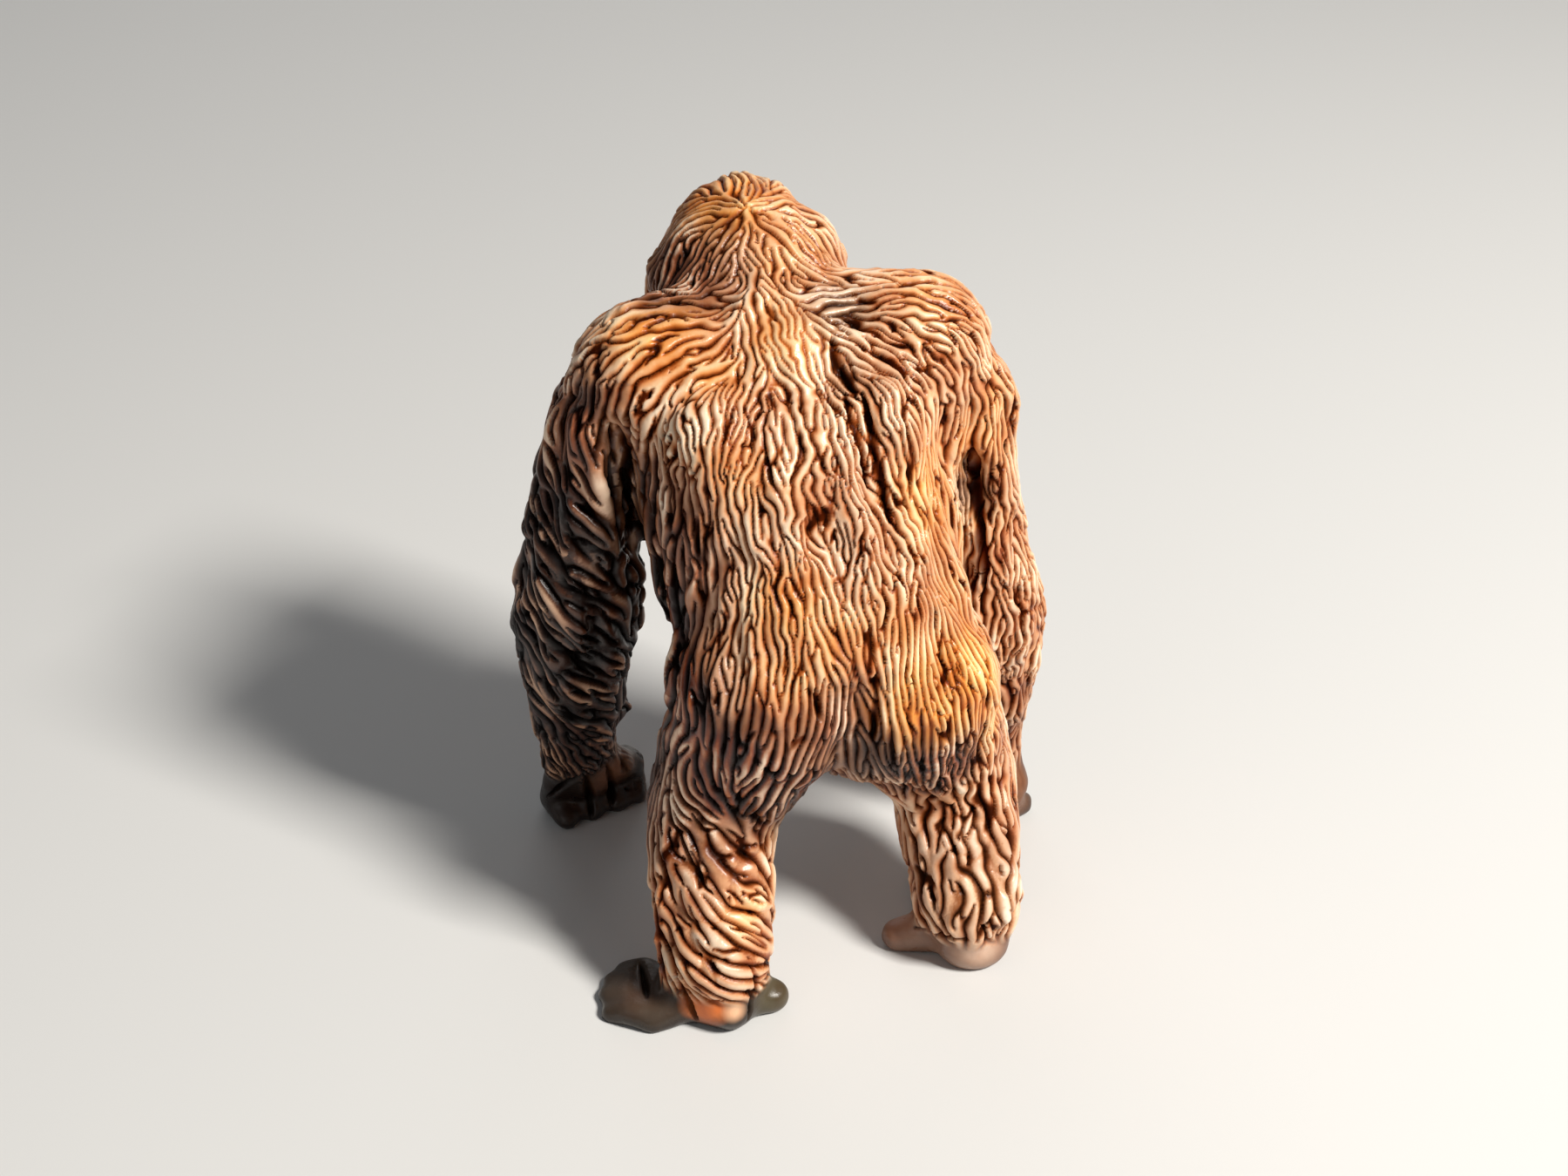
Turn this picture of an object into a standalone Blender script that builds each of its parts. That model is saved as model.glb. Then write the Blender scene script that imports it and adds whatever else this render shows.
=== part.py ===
"""Orangutan figurine, moulded in one solid piece, walking on its feet and knuckles.

The animal faces +Y with its right side at +X. It stands on z = 0, and its box is centred on the Z axis.
It is sculpted in millimetres and scaled to metres at the end, in the order a sculptor works:
block out the masses, melt them into one skin, press in the face, carve the hair locks, plane the soles flat.
"""

import math

import bmesh
import bpy
import numpy as np
from mathutils.bvhtree import BVHTree
from mathutils.kdtree import KDTree

NAME = "orangutan"
MM = 0.001

# Driving sizes of the body, in millimetres. +Y is forward, and forward sizes are measured from the Z axis.
HIP_HEIGHT = 26.6
HIP_SPAN = 11.4
BUTTOCK_RADIUS = 8.3
HIP_FORWARD = -5.2
HIP_SWAY = 4.3

CHEST_HEIGHT = 40.0
CHEST_RADIUS = 11.6
CHEST_FORWARD = 3.0
BELLY_RADIUS = 11.2

SHOULDER_HEIGHT = 47.4
SHOULDER_SPAN = 19.6
SHOULDER_RADIUS = 6.9
SHOULDER_FORWARD = 6.4

NECK_LENGTH = 7.5
NECK_RADIUS = 6.8
SKULL_RADIUS = 7.8
MUZZLE_LENGTH = 8.4
CHEEK_PAD_RADIUS = 4.0
EYE_SPACING = 4.2
HEAD_TURN = 6.0

ELBOW_HEIGHT = 24.5
ELBOW_SPAN = 35.0
UPPER_ARM_RADIUS = 5.0
ELBOW_RADIUS = 5.1
WRIST_HEIGHT = 7.6
ARM_REACH = 5.3
WRIST_RADIUS = 3.0
FINGER_RADIUS = 1.35

KNEE_HEIGHT = 14.0
THIGH_RADIUS = 6.4
KNEE_RADIUS = 5.3
CALF_RADIUS = 4.9
ANKLE_HEIGHT = 5.4
LEG_REACH = 7.9
ANKLE_RADIUS = 4.6
HEEL_RADIUS = 2.9
TOE_RADIUS = 1.2

# The coat: each lock is one raised tongue that lies over the root of the next.
LOCK_LENGTH = 9.0
LOCK_WIDTH = 2.6
LOCK_DEPTH = 1.1
LOCK_SEED = 7

# How fine the skin is.
BLOCKOUT_VOXEL = 0.38
MELT_ROUNDS = 16
SKIN_TRIANGLES = 11600

# Which way the coat lies: strokes drawn over the body with a comb, from root to tip.
COMB = (
    ((0.2, 5, 53), (0.8, 0.5, 49.5), (1.5, -5, 45), (2.2, -8.5, 40)),
    ((2.2, -8.5, 40), (3.3, -10, 34), (4.5, -13, 28), (4.8, -14, 23)),
    ((-2, 5.5, 52.5), (-8, 5, 55), (-13, 5, 53), (-17, 6.5, 46)),
    ((-3, 1, 50.5), (-8, -1.5, 49), (-12, -2.5, 45), (-13, -3.5, 40)),
    ((-8, -5, 44), (-9, -6, 38), (-9, -6, 32), (-7, -8, 27)),
    ((3, 5.5, 52.5), (9, 5, 56), (15, 5, 53), (18.5, 6, 46)),
    ((4, 1.5, 51), (9, -1, 49.5), (13, -3, 45), (14, -4.5, 40)),
    ((11, -6, 44), (12, -6.5, 38), (12.5, -6.5, 32), (13, -7, 27)),
    ((-7, -8, 27), (-9.5, -6, 22), (-10, -6.5, 16), (-10, -9, 10), (-9.5, -11, 5)),
    ((1, -13.5, 29), (0, -14, 24), (-1.5, -12.5, 19), (-2.5, -10, 16)),
    ((-9, -10.5, 13.5), (-6, -13.5, 10), (-2.5, -13, 8)),
    ((-9.5, -11.5, 9), (-6.5, -14, 6.5), (-3, -13.5, 5)),
    ((-1.5, -8, 16), (-1.2, -9.5, 11), (-1.5, -10.5, 6)),
    ((-6, -1, 18), (-6, -3, 13), (-6, -7, 8)),
    ((12, -9, 28), (16.5, -6, 23), (18, -4, 17), (18.5, -6, 10), (18, -8, 5)),
    ((9, -13, 29), (10, -13.5, 24), (11, -11.5, 19), (12, -9.5, 16)),
    ((13, -10, 14), (14, -11, 9), (14, -12, 5)),
    ((9, -5, 17), (9.5, -7, 12), (10, -9, 7)),
    ((14, 1, 18), (15, 0, 13), (15, -3, 8)),
    ((0, 12, 44), (1, 13.5, 38), (2, 12, 32), (3, 8, 25), (3.2, 4, 19.5), (3.5, -2, 17.5)),
    ((-7, 10, 44), (-8, 9, 36), (-8, 7, 29), (-5, 3, 22)),
    ((9, 10, 44), (11, 9, 36), (11.5, 7, 29), (11, 2, 22)),
    ((-17, 6, 48), (-19, 6, 41), (-21, 7, 34), (-22, 8, 27), (-21.5, 9, 20), (-19.5, 11, 12)),
    ((-17, 1.5, 45), (-16.5, 1.5, 39), (-14, 2, 33), (-12.5, 4, 29)),
    ((-20, 3.5, 38), (-18, 2.5, 32), (-15, 3.5, 27)),
    ((-20, 5, 27), (-18, 6, 20), (-16, 8.5, 14), (-15, 10, 10)),
    ((-16, 13, 44), (-17.5, 12.5, 36), (-18, 13, 27), (-17.5, 14.5, 18), (-16, 15.5, 11)),
    ((-12.5, 7, 38), (-13.5, 7.5, 30), (-14, 9, 22), (-13.5, 11, 13)),
    ((19.5, 6, 48), (20.5, 5, 41), (22.5, 6, 34), (24, 7, 27), (24, 7.5, 20), (22.5, 8.5, 12)),
    ((18, 1.5, 45), (18, 1.5, 39), (18.5, 1.5, 33), (19.5, 2, 27), (20, 4, 19), (19.5, 6, 11)),
    ((17, 13, 44), (19, 11.5, 36), (20, 12, 27), (20, 12.5, 18), (19.5, 12.5, 11)),
    ((14.5, 6, 38), (15.5, 6.5, 30), (16, 7.5, 22), (16.5, 9, 13)),
    ((-0.8, 11.5, 60.5), (-0.8, 17, 60.5), (-0.8, 21, 58)),
    ((-0.8, 11.5, 60.5), (-5, 13, 59.5), (-7.8, 14, 55), (-8.4, 14.5, 50)),
    ((-0.8, 11.5, 60.5), (4, 13, 60), (6.6, 14, 55), (7.4, 14.5, 50)),
    ((-0.8, 11.5, 60.5), (-4, 9, 58), (-6, 8, 53.5), (-7, 8, 50)),
    ((-0.8, 11.5, 60.5), (-0.4, 7.5, 58), (0, 5.5, 54), (0.2, 3.5, 51)),
    ((-0.8, 11.5, 60.5), (3, 9, 58), (5, 8, 53.5), (6.5, 7.5, 51)),
    ((-7.6, 19.5, 52), (-6.8, 20.5, 46), (-4, 21, 42)),
    ((6.4, 19.5, 52), (5.6, 20.5, 46), (3, 21, 42)),
    ((-1, 22, 45), (-1, 21, 42), (-0.6, 17, 40), (0, 14.5, 37)),
)


def point(*xyz):
    return np.array(xyz, float)


def between(a, b, share):
    return a + (b - a) * share


def unit(vector):
    return vector / np.maximum(np.linalg.norm(vector, axis=-1, keepdims=True), 1e-9)


def landmarks():
    """The joints of the skeleton that the masses hang on."""
    at = {}
    at["pelvis"] = point(HIP_SWAY, HIP_FORWARD, HIP_HEIGHT)
    at["chest"] = point(1.3, CHEST_FORWARD, CHEST_HEIGHT)
    at["shoulders"] = point(1.0, SHOULDER_FORWARD, SHOULDER_HEIGHT)
    at["neck"] = at["shoulders"] + point(-1.0, 1.5, 1.8)
    at["skull"] = at["neck"] + point(-0.5, NECK_LENGTH * 0.9, NECK_LENGTH * 0.36)
    for side, sign in (("left", -1), ("right", 1)):
        aside = point(sign * SHOULDER_SPAN / 2, 0.2 * sign, 0.4 + 0.4 * sign)
        at[side + "_shoulder"] = at["shoulders"] + aside
        at[side + "_hip"] = at["pelvis"] + point(sign * HIP_SPAN / 2, 0.5 * sign, 0.0)
    at["right_hip"] += point(-1.3, 0, -1.4)
    at["left_elbow"] = point(1.2 - ELBOW_SPAN / 2, 7.6, ELBOW_HEIGHT)
    at["right_elbow"] = point(1.2 + ELBOW_SPAN / 2, 6.6, ELBOW_HEIGHT - 0.8)
    at["left_wrist"] = at["left_elbow"] + point(-0.3, ARM_REACH, WRIST_HEIGHT - ELBOW_HEIGHT)
    at["right_wrist"] = at["right_elbow"] + point(1.4, ARM_REACH - 2.3, WRIST_HEIGHT - ELBOW_HEIGHT + 0.8)
    at["left_knee"] = at["left_hip"] + point(-5.0, 1.1, KNEE_HEIGHT - HIP_HEIGHT)
    at["right_knee"] = at["right_hip"] + point(5.6, 2.8, KNEE_HEIGHT - HIP_HEIGHT + 1.4)
    at["left_ankle"] = at["left_knee"] + point(-0.9, -LEG_REACH, ANKLE_HEIGHT - KNEE_HEIGHT)
    at["right_ankle"] = at["right_knee"] + point(0.3, 1.3 - LEG_REACH, ANKLE_HEIGHT - KNEE_HEIGHT)
    return at


def on_head(at, x, y, z):
    """A place on the head: x to its right, y towards the face, z up, from the middle of the skull."""
    turn = math.radians(HEAD_TURN)
    right = point(math.cos(turn), math.sin(turn), 0)
    ahead = point(-math.sin(turn), math.cos(turn), 0)
    return at["skull"] + right * x + ahead * y + point(0, 0, z)


class Clay:
    """Overlapping closed lumps, collected in one mesh."""

    def __init__(self):
        ball = bmesh.new()
        bmesh.ops.create_uvsphere(ball, u_segments=20, v_segments=14, radius=1.0)
        self.ball = np.array([vert.co[:] for vert in ball.verts])
        self.ball_faces = [[vert.index for vert in face.verts] for face in ball.faces]
        ball.free()
        self.points = []
        self.faces = []

    def pod(self, a, b, radius_a, radius_b, wide=1.0, deep=1.0, side=(1, 0, 0)):
        """A tapered lump with round ends. wide stretches it along side, deep across side and its axis."""
        axis = b - a
        length = np.linalg.norm(axis)
        up = axis / length if length > 1e-6 else point(0, 0, 1)
        across = np.array(side, float)
        across = unit(across - up * across.dot(up))
        turn = np.array((across, np.cross(up, across), up))
        upper = self.ball[:, 2:3] > -1e-6
        local = self.ball * (wide, deep, 1.0) * np.where(upper, radius_b, radius_a)
        start = len(self.points) * len(self.ball)
        self.points.append(local @ turn + np.where(upper, b, a))
        for face in self.ball_faces:
            self.faces.append([start + corner for corner in face])

    def chain(self, points, radii, **shape):
        for a, b, radius_a, radius_b in zip(points, points[1:], radii, radii[1:]):
            self.pod(a, b, radius_a, radius_b, **shape)

    def mesh(self):
        made = bpy.data.meshes.new(NAME)
        made.from_pydata(np.concatenate(self.points), [], self.faces)
        return made


def add_torso(clay, at):
    pelvis, chest, shoulders = at["pelvis"], at["chest"], at["shoulders"]
    belly = between(pelvis, chest, 0.38) + point(-0.3, 3.0, 0.0)
    clay.pod(at["left_hip"], at["right_hip"], BUTTOCK_RADIUS, BUTTOCK_RADIUS * 0.98)
    clay.pod(belly, chest, BELLY_RADIUS, CHEST_RADIUS, wide=1.03)
    clay.pod(chest, shoulders, CHEST_RADIUS, CHEST_RADIUS * 0.72, wide=1.1)
    clay.pod(at["left_shoulder"], at["right_shoulder"], SHOULDER_RADIUS, SHOULDER_RADIUS)
    loin = between(pelvis, chest, 0.3) + point(-0.4, 0.6, 0.0)
    ribs = between(pelvis, chest, 0.75) + point(0.0, 0.8, 0.0)
    clay.pod(loin, ribs, BELLY_RADIUS * 0.96, BELLY_RADIUS, wide=1.1)
    breast = chest + point(0.0, 5.0, 1.0)
    clay.pod(breast - point(5, 0, 0), breast + point(5, 0, 0), 6.6, 6.6)
    for side, sign in (("left", -1), ("right", 1)):
        blade = between(chest, at[side + "_shoulder"], 0.62) + point(-sign * 0.5, -5.6, 1.5)
        clay.pod(blade, blade + point(sign * 1.2, 0.6, -4.0), 4.6, 4.2)


def add_head(clay, at):
    def place(x, y, z):
        return on_head(at, x, y, z)

    clay.pod(at["neck"], at["skull"], NECK_RADIUS, SKULL_RADIUS * 0.95)
    clay.pod(place(0, -0.6, 0), place(0, 1.0, -0.8), SKULL_RADIUS, SKULL_RADIUS * 0.9)
    clay.pod(place(-0.3, -2.0, 1.5), place(-0.3, 1.4, 1.9), SKULL_RADIUS * 0.78, SKULL_RADIUS * 0.8)
    for sign in (-1, 1):
        clay.pod(place(sign * 0.9, 6.6, 1.5), place(sign * 3.1, 5.7, 1.3), 1.35, 1.2)
        pad = place(sign * (SKULL_RADIUS - CHEEK_PAD_RADIUS * 0.92), 3.9, -1.6)
        clay.pod(pad, pad + point(0, 0, -2.8), CHEEK_PAD_RADIUS, CHEEK_PAD_RADIUS * 0.92, deep=0.5)
        clay.pod(place(sign * 1.8, 5.0, -2.6), place(sign * 2.6, 5.2, -4.8), 2.1, 2.1)
        ear = place(sign * (SKULL_RADIUS - 0.5), 0.4, 1.2)
        clay.pod(ear, ear - point(0, 0, 1.6), 1.3, 1.0)
    lip = MUZZLE_LENGTH - 1.1
    clay.pod(place(0, 3.0, -4.0), place(0, lip - 0.9, -5.3), 4.3, 3.3, wide=1.12)
    clay.pod(place(-1.7, lip - 0.1, -5.5), place(1.7, lip - 0.1, -5.5), 2.0, 2.0)
    clay.pod(place(-1.1, lip - 0.8, -8.2), place(1.1, lip - 0.8, -8.2), 1.9, 1.9)
    clay.pod(place(0, lip - 1.3, -0.4), place(0, lip + 0.6, -3.1), 0.8, 1.1)
    chin = place(0, MUZZLE_LENGTH / 2, -8.2)
    clay.pod(chin, chin + point(0, -0.8, -4.4), 3.6, 2.2)
    clay.pod(place(0, 0.5, -6.0), at["chest"] + point(0, 7.0, 4.0), 6.0, 5.5)


def add_arm(clay, at, side, sign):
    shoulder, elbow, wrist = at[side + "_shoulder"], at[side + "_elbow"], at[side + "_wrist"]
    deltoid = shoulder + point(sign * 2.6, 0.2, -3.4)
    clay.pod(shoulder, deltoid, SHOULDER_RADIUS * 0.94, SHOULDER_RADIUS * 0.86)
    clay.chain(
        [deltoid, between(deltoid, elbow, 0.5) + point(sign * 0.2 - 0.6, -0.6, 0), elbow],
        [SHOULDER_RADIUS * 0.86, UPPER_ARM_RADIUS, ELBOW_RADIUS],
    )
    clay.chain(
        [elbow, between(elbow, wrist, 0.45) + point(0, 0.2, 0), wrist],
        [ELBOW_RADIUS, ELBOW_RADIUS * 0.84, WRIST_RADIUS],
    )


def add_tufts(clay, at):
    """Loose tufts that break the outline: at the right shoulder and elbow and over the left hand."""
    lump = at["right_shoulder"] + point(7.3, -1.6, -2.6)
    clay.pod(lump, lump - point(-0.4, 0.2, 2.0), 1.7, 1.5)
    hook = at["right_elbow"] + point(1.6, -1.6, -8.0)
    clay.pod(hook, hook + point(0.6, -0.3, -2.0), 2.2, 1.2)
    wisp = at["left_wrist"] + point(2.4, -1.0, 6.6)
    clay.pod(wisp, wisp + point(3.0, -0.6, -1.6), 1.8, 0.8)


def add_fist(clay, at, side, row_from, row_to, thumb):
    """A knuckle-walking fist: the palm and four fingers that bend down and curl back."""
    wrist = at[side + "_wrist"]
    ridge_a, ridge_b = wrist + point(*row_from), wrist + point(*row_to)
    palm = between(ridge_a, ridge_b, 0.4)
    clay.pod(wrist, palm, WRIST_RADIUS, 2.4, wide=1.25, side=ridge_b - ridge_a)
    along = unit((ridge_b - ridge_a) * (1, 1, 0))
    ahead = point(-along[1], along[0], 0.0)
    for share in (0.0, 0.34, 0.68, 1.0):
        base = between(ridge_a, ridge_b, share)
        bend = point(base[0], base[1], FINGER_RADIUS * 0.9) + ahead * 1.6
        tip = point(base[0], base[1], FINGER_RADIUS * 0.6) - ahead * 1.5
        clay.chain([between(palm, base, 0.5), base, bend], [1.9, FINGER_RADIUS * 1.15, FINGER_RADIUS])
        clay.pod(bend, tip, FINGER_RADIUS, FINGER_RADIUS * 0.85)
    root = between(wrist, palm, 0.5)
    clay.pod(root, wrist + point(*thumb), 1.7, FINGER_RADIUS * 0.9)


def add_leg(clay, at, side):
    hip, knee, ankle = at[side + "_hip"], at[side + "_knee"], at[side + "_ankle"]
    thigh = between(hip, knee, 0.5)
    clay.chain([hip, thigh, knee], [BUTTOCK_RADIUS * 0.95, THIGH_RADIUS, KNEE_RADIUS])
    calf = between(knee, ankle, 0.55)
    clay.chain([knee, calf, ankle], [KNEE_RADIUS, CALF_RADIUS, ANKLE_RADIUS])


def add_foot(clay, at, side, heel, arch, toe_from, toe_to, toe_way, thumb_tip):
    """A flat hand-like foot with four toes and a big toe that stands off, placed from below the ankle."""
    ankle = at[side + "_ankle"]
    floor = point(ankle[0], ankle[1], 0)
    heel, arch, thumb_tip = floor + point(*heel), floor + point(*arch), floor + point(*thumb_tip)
    toe_a, toe_b, way = floor + point(*toe_from), floor + point(*toe_to), unit(point(*toe_way))
    clay.pod(ankle, heel, ANKLE_RADIUS, HEEL_RADIUS)
    clay.pod(ankle, arch, ANKLE_RADIUS * 0.85, 2.0)
    clay.pod(heel, arch, HEEL_RADIUS, 1.9, wide=1.15, side=toe_b - toe_a)
    for share in (0.0, 0.34, 0.67, 1.0):
        root = between(toe_a, toe_b, share)
        reach = 3.0 + 1.6 * math.sin(math.pi * (share * 0.7 + 0.15))
        spread = unit(way + (toe_b - toe_a) * (share - 0.5) * 0.03)
        knuckle = root + spread * reach * 0.5 + point(0, 0, 0.45)
        tip = root + spread * reach - point(0, 0, 0.35)
        clay.pod(between(heel, arch, 0.6), root, 2.0, TOE_RADIUS * 1.1)
        clay.chain([root, knuckle, tip], [TOE_RADIUS * 1.05, TOE_RADIUS, TOE_RADIUS * 0.8])
    clay.chain([between(arch, heel, 0.6), thumb_tip], [2.3, TOE_RADIUS * 1.3])


def blockout(at):
    clay = Clay()
    add_torso(clay, at)
    add_head(clay, at)
    add_arm(clay, at, "left", -1)
    add_arm(clay, at, "right", 1)
    add_tufts(clay, at)
    add_fist(clay, at, "left", (-1.8, 0.2, -3.3), (5.2, 3.0, -3.7), thumb=(4.6, 0.6, -2.0))
    add_fist(clay, at, "right", (2.4, -2.0, -3.6), (-1.2, 4.0, -3.4), thumb=(-3.6, 0.4, -2.4))
    add_leg(clay, at, "left")
    add_leg(clay, at, "right")
    add_foot(
        clay, at, "left", heel=(0.9, -1.5, 1.9), arch=(-2.6, -0.2, 1.1), toe_from=(-5.2, -2.3, 0.6),
        toe_to=(-3.8, 2.4, 0.5), toe_way=(-0.88, 0.46, 0), thumb_tip=(4.7, -1.3, 1.1),
    )
    add_foot(
        clay, at, "right", heel=(0.3, -1.5, 1.9), arch=(0.9, 2.2, 1.2), toe_from=(-2.3, 5.0, 0.75),
        toe_to=(4.6, 4.2, 0.75), toe_way=(0.15, 0.98, 0), thumb_tip=(-5.6, 0.6, 1.0),
    )
    return clay.mesh()


def evaluated(obj):
    """A plain mesh of obj with its modifiers applied."""
    bpy.context.view_layer.update()
    graph = bpy.context.evaluated_depsgraph_get()
    return bpy.data.meshes.new_from_object(obj.evaluated_get(graph))


def bake(obj):
    obj.data = evaluated(obj)
    obj.modifiers.clear()


def fuse(obj, voxel):
    """One closed skin round all the lumps."""
    remesh = obj.modifiers.new("fuse", "REMESH")
    remesh.mode = "VOXEL"
    remesh.voxel_size = voxel
    bake(obj)


def coordinates(mesh):
    co = np.empty(len(mesh.vertices) * 3, np.float32)
    mesh.vertices.foreach_get("co", co)
    return co.reshape(-1, 3).astype(float)


def set_coordinates(mesh, co):
    mesh.vertices.foreach_set("co", co.astype(np.float32).ravel())
    mesh.update()


def normals_of(mesh):
    out = np.empty(len(mesh.vertices) * 3, np.float32)
    mesh.vertex_normals.foreach_get("vector", out)
    return out.reshape(-1, 3).astype(float)


def edge_pairs(mesh):
    pairs = np.empty(len(mesh.edges) * 2, np.int32)
    mesh.edges.foreach_get("vertices", pairs)
    return pairs.reshape(-1, 2)


def relax(co, pairs, rounds, strength):
    """Moves each point towards the mean of its neighbours, which melts the creases."""
    count = np.bincount(pairs.ravel(), minlength=len(co))[:, None]
    for _ in range(round(rounds)):
        total = np.zeros_like(co)
        for axis in range(3):
            total[:, axis] = np.bincount(pairs[:, 0], co[pairs[:, 1], axis], len(co))
            total[:, axis] += np.bincount(pairs[:, 1], co[pairs[:, 0], axis], len(co))
        co = co + (total / count - co) * strength
    return co


def near(co, centre, radius, soft):
    """1 within radius of centre, falling to 0 over soft."""
    return np.clip((radius + soft - np.linalg.norm(co - centre, axis=1)) / soft, 0, 1)


def bare_skin(co, at):
    """1 where the skin is bare, 0 where the coat is full: the face, the hands and the feet."""
    bare = near(co, on_head(at, 0, 9.5, -4.2), 6.6, 1.6)
    low = np.clip((3.4 - co[:, 2]) / 1.4, 0, 1)
    for side in ("left", "right"):
        wrist, ankle = at[side + "_wrist"], at[side + "_ankle"]
        bare = np.maximum(bare, near(co, wrist + point(0.6, 1.6, -5.4), WRIST_RADIUS + 1.6, 1.8))
        bare = np.maximum(bare, low * near(co, ankle * (1, 1, 0), ANKLE_RADIUS + LEG_REACH, 1.0))
    return bare


def dent(co, centre, radius, depth, way):
    """Pushes a round hollow into the skin, or a bump out of it where depth is negative."""
    share = np.clip(1 - np.linalg.norm(co - centre, axis=1) / radius, 0, 1)
    return co + np.outer(np.sin(share * math.pi / 2) ** 2 * depth, way)


def crease(co, line, radius, depth, way):
    """Presses a line into the skin."""
    gap = np.full(len(co), 1e9)
    for a, b in zip(line, line[1:]):
        share = np.clip((co - a) @ (b - a) / (b - a).dot(b - a), 0, 1)
        gap = np.minimum(gap, np.linalg.norm(co - a - share[:, None] * (b - a), axis=1))
    return co + np.outer(np.clip(1 - gap / radius, 0, 1) ** 1.3 * depth, way)


def furrow(co, normals, line, radius, depth, way):
    """Presses a line into the skin that faces it, seen along way, however deep the skin lies."""
    gap = np.full(len(co), 1e9)
    for a, b in zip(line, line[1:]):
        run = (b - a) - way * way.dot(b - a)
        off = (co - a) - np.outer((co - a) @ way, way)
        share = np.clip(off @ run / run.dot(run), 0, 1)
        deep = np.abs((co - a - np.outer(share, b - a)) @ way) > 6
        gap = np.minimum(gap, np.linalg.norm(off - np.outer(share, run), axis=1) + 99 * deep)
    facing = np.clip(-(normals @ way) * 2.0, 0, 1)
    return co + np.outer(np.clip(1 - gap / radius, 0, 1) ** 1.2 * depth * facing, way)


def press_folds(mesh, at):
    """The folds that part the masses: arms from back, blade from blade, and the rump."""
    co, normals = coordinates(mesh), normals_of(mesh)
    ahead = point(0, 1, 0)
    chest, pelvis = at["chest"], at["pelvis"]
    left, right, neck = at["left_shoulder"], at["right_shoulder"], at["neck"]
    armpits = chest + point(14.3, -3, 0)
    folds = (
        ([left + point(-3.6, -6.2, -1.5), chest + point(-13, -2, 1), chest + point(-12.4, 0, -7)], 2.4, 2.6),
        ([right + point(4.2, -7, -2.5), armpits], 1.6, 0.9),
        ([armpits, armpits + point(0.3, 0.5, -10)], 2.0, 2.2),
        ([neck + point(0.2, -5, 0), chest + point(0, -9, 5.5), chest + point(1.2, -12, 0)], 2.8, 0.8),
        ([chest + point(1.2, -12, 0), chest + point(2.2, -13, -6)], 2.8, 0.6),
        ([neck + point(5.6, -9, 0), neck + point(6.2, -13, -6.5)], 1.5, 0.8),
        ([pelvis + point(-0.2, -9, 2.5), pelvis + point(-0.8, -8, -2.5)], 3.0, 1.0),
        ([pelvis + point(-0.8, -8, -2.5), pelvis + point(-1.4, -6, -7)], 3.0, 1.3),
    )
    for line, radius, depth in folds:
        co = furrow(co, normals, line, radius, depth, ahead)
    co = dent(co, left + point(2.4, -9.0, -1.0), 5.5, -0.9, ahead)
    co = dent(co, right + point(-1.4, -9.5, -1.6), 5.5, -0.9, ahead)
    return dent(co, neck + point(6.0, -3.4, 3.2), 3.2, 1.0, unit(point(0, 0.5, -0.85)))


def press_face(co, at):
    """Sockets with eyeballs, nostrils, a mouth line and the folds under the eyes."""
    ahead = on_head(at, 0, 1, 0) - on_head(at, 0, 0, 0)
    aside = on_head(at, 1, 0, 0) - on_head(at, 0, 0, 0)

    def on_face(x, z):
        off = co - at["skull"]
        beside = np.hypot(off @ aside - x, off[:, 2] - z) < BLOCKOUT_VOXEL * 1.3
        return on_head(at, x, (off @ ahead)[beside].max(), z)

    half = EYE_SPACING / 2
    for sign in (-1, 1):
        co = dent(co, on_face(sign * half, -0.3), 1.9, 1.1, -ahead)
        co = dent(co, on_face(sign * half, -0.3), 1.05, -0.7, -ahead)
        co = dent(co, on_face(sign * 0.85, -3.3), 1.2, -0.35, -ahead)
        co = dent(co, on_face(sign * 0.8, -3.7), 0.75, 0.7, -ahead)
        bag = [on_face(sign * x, z) for x, z in ((0.9, -1.5), (2.1, -2.0), (3.4, -1.6))]
        co = crease(co, bag, 0.6, 0.3, -ahead)
    mouth = [on_face(x, -7.0 - 0.07 * x * x) for x in (-3.4, -2.2, -1, 0, 1, 2.2, 3.4)]
    return crease(co, mouth, 0.95, 0.95, -ahead)


class Coat:
    """The comb strokes as samples of place, direction and facing."""

    def __init__(self, mesh):
        bm = bmesh.new()
        bm.from_mesh(mesh)
        self.tree = BVHTree.FromBMesh(bm)
        bm.free()
        places, ways = [], []
        for stroke in COMB:
            knots = [point(*knot) for knot in stroke]
            for a, b in zip(knots, knots[1:]):
                pieces = max(1, round(np.linalg.norm(b - a) / 1.5))
                for piece in range(pieces):
                    places.append(between(a, b, (piece + 0.5) / pieces))
                    ways.append(unit(b - a))
        found = [self.tree.find_nearest(place) for place in places]
        self.places = np.array([hit[0] for hit in found])
        self.facings = np.array([hit[1] for hit in found])
        self.ways = np.array(ways)

    def way(self, co, normals):
        """The direction the coat lies in at each point, along the skin."""
        square = (co**2).sum(1)[:, None] + (self.places**2).sum(1) - 2 * co @ self.places.T
        weight = (0.12 + np.clip(normals @ self.facings.T, 0, 1)) ** 2 / (np.maximum(square, 0) + 0.6) ** 2
        lie = weight @ self.ways
        return unit(lie - normals * (lie * normals).sum(1)[:, None])

    def grow(self, roots, normals, lengths, steps, twist):
        """Follows the coat from each root over the skin."""
        path = [roots]
        facing = [normals]
        for step in range(steps):
            lie = self.way(path[-1], facing[-1])
            aside = np.cross(facing[-1], lie)
            lie = unit(lie + aside * (twist * math.sin(math.pi * step / steps))[:, None])
            ahead = path[-1] + lie * (lengths / steps)[:, None]
            found = [self.tree.find_nearest(place) for place in ahead]
            path.append(np.array([hit[0] for hit in found]))
            facing.append(np.array([hit[1] for hit in found]))
        return np.stack(path, 1), np.stack(facing, 1)


def kd_tree(co):
    tree = KDTree(len(co))
    for index, place in enumerate(co):
        tree.insert(place, index)
    tree.balance()
    return tree


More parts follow.
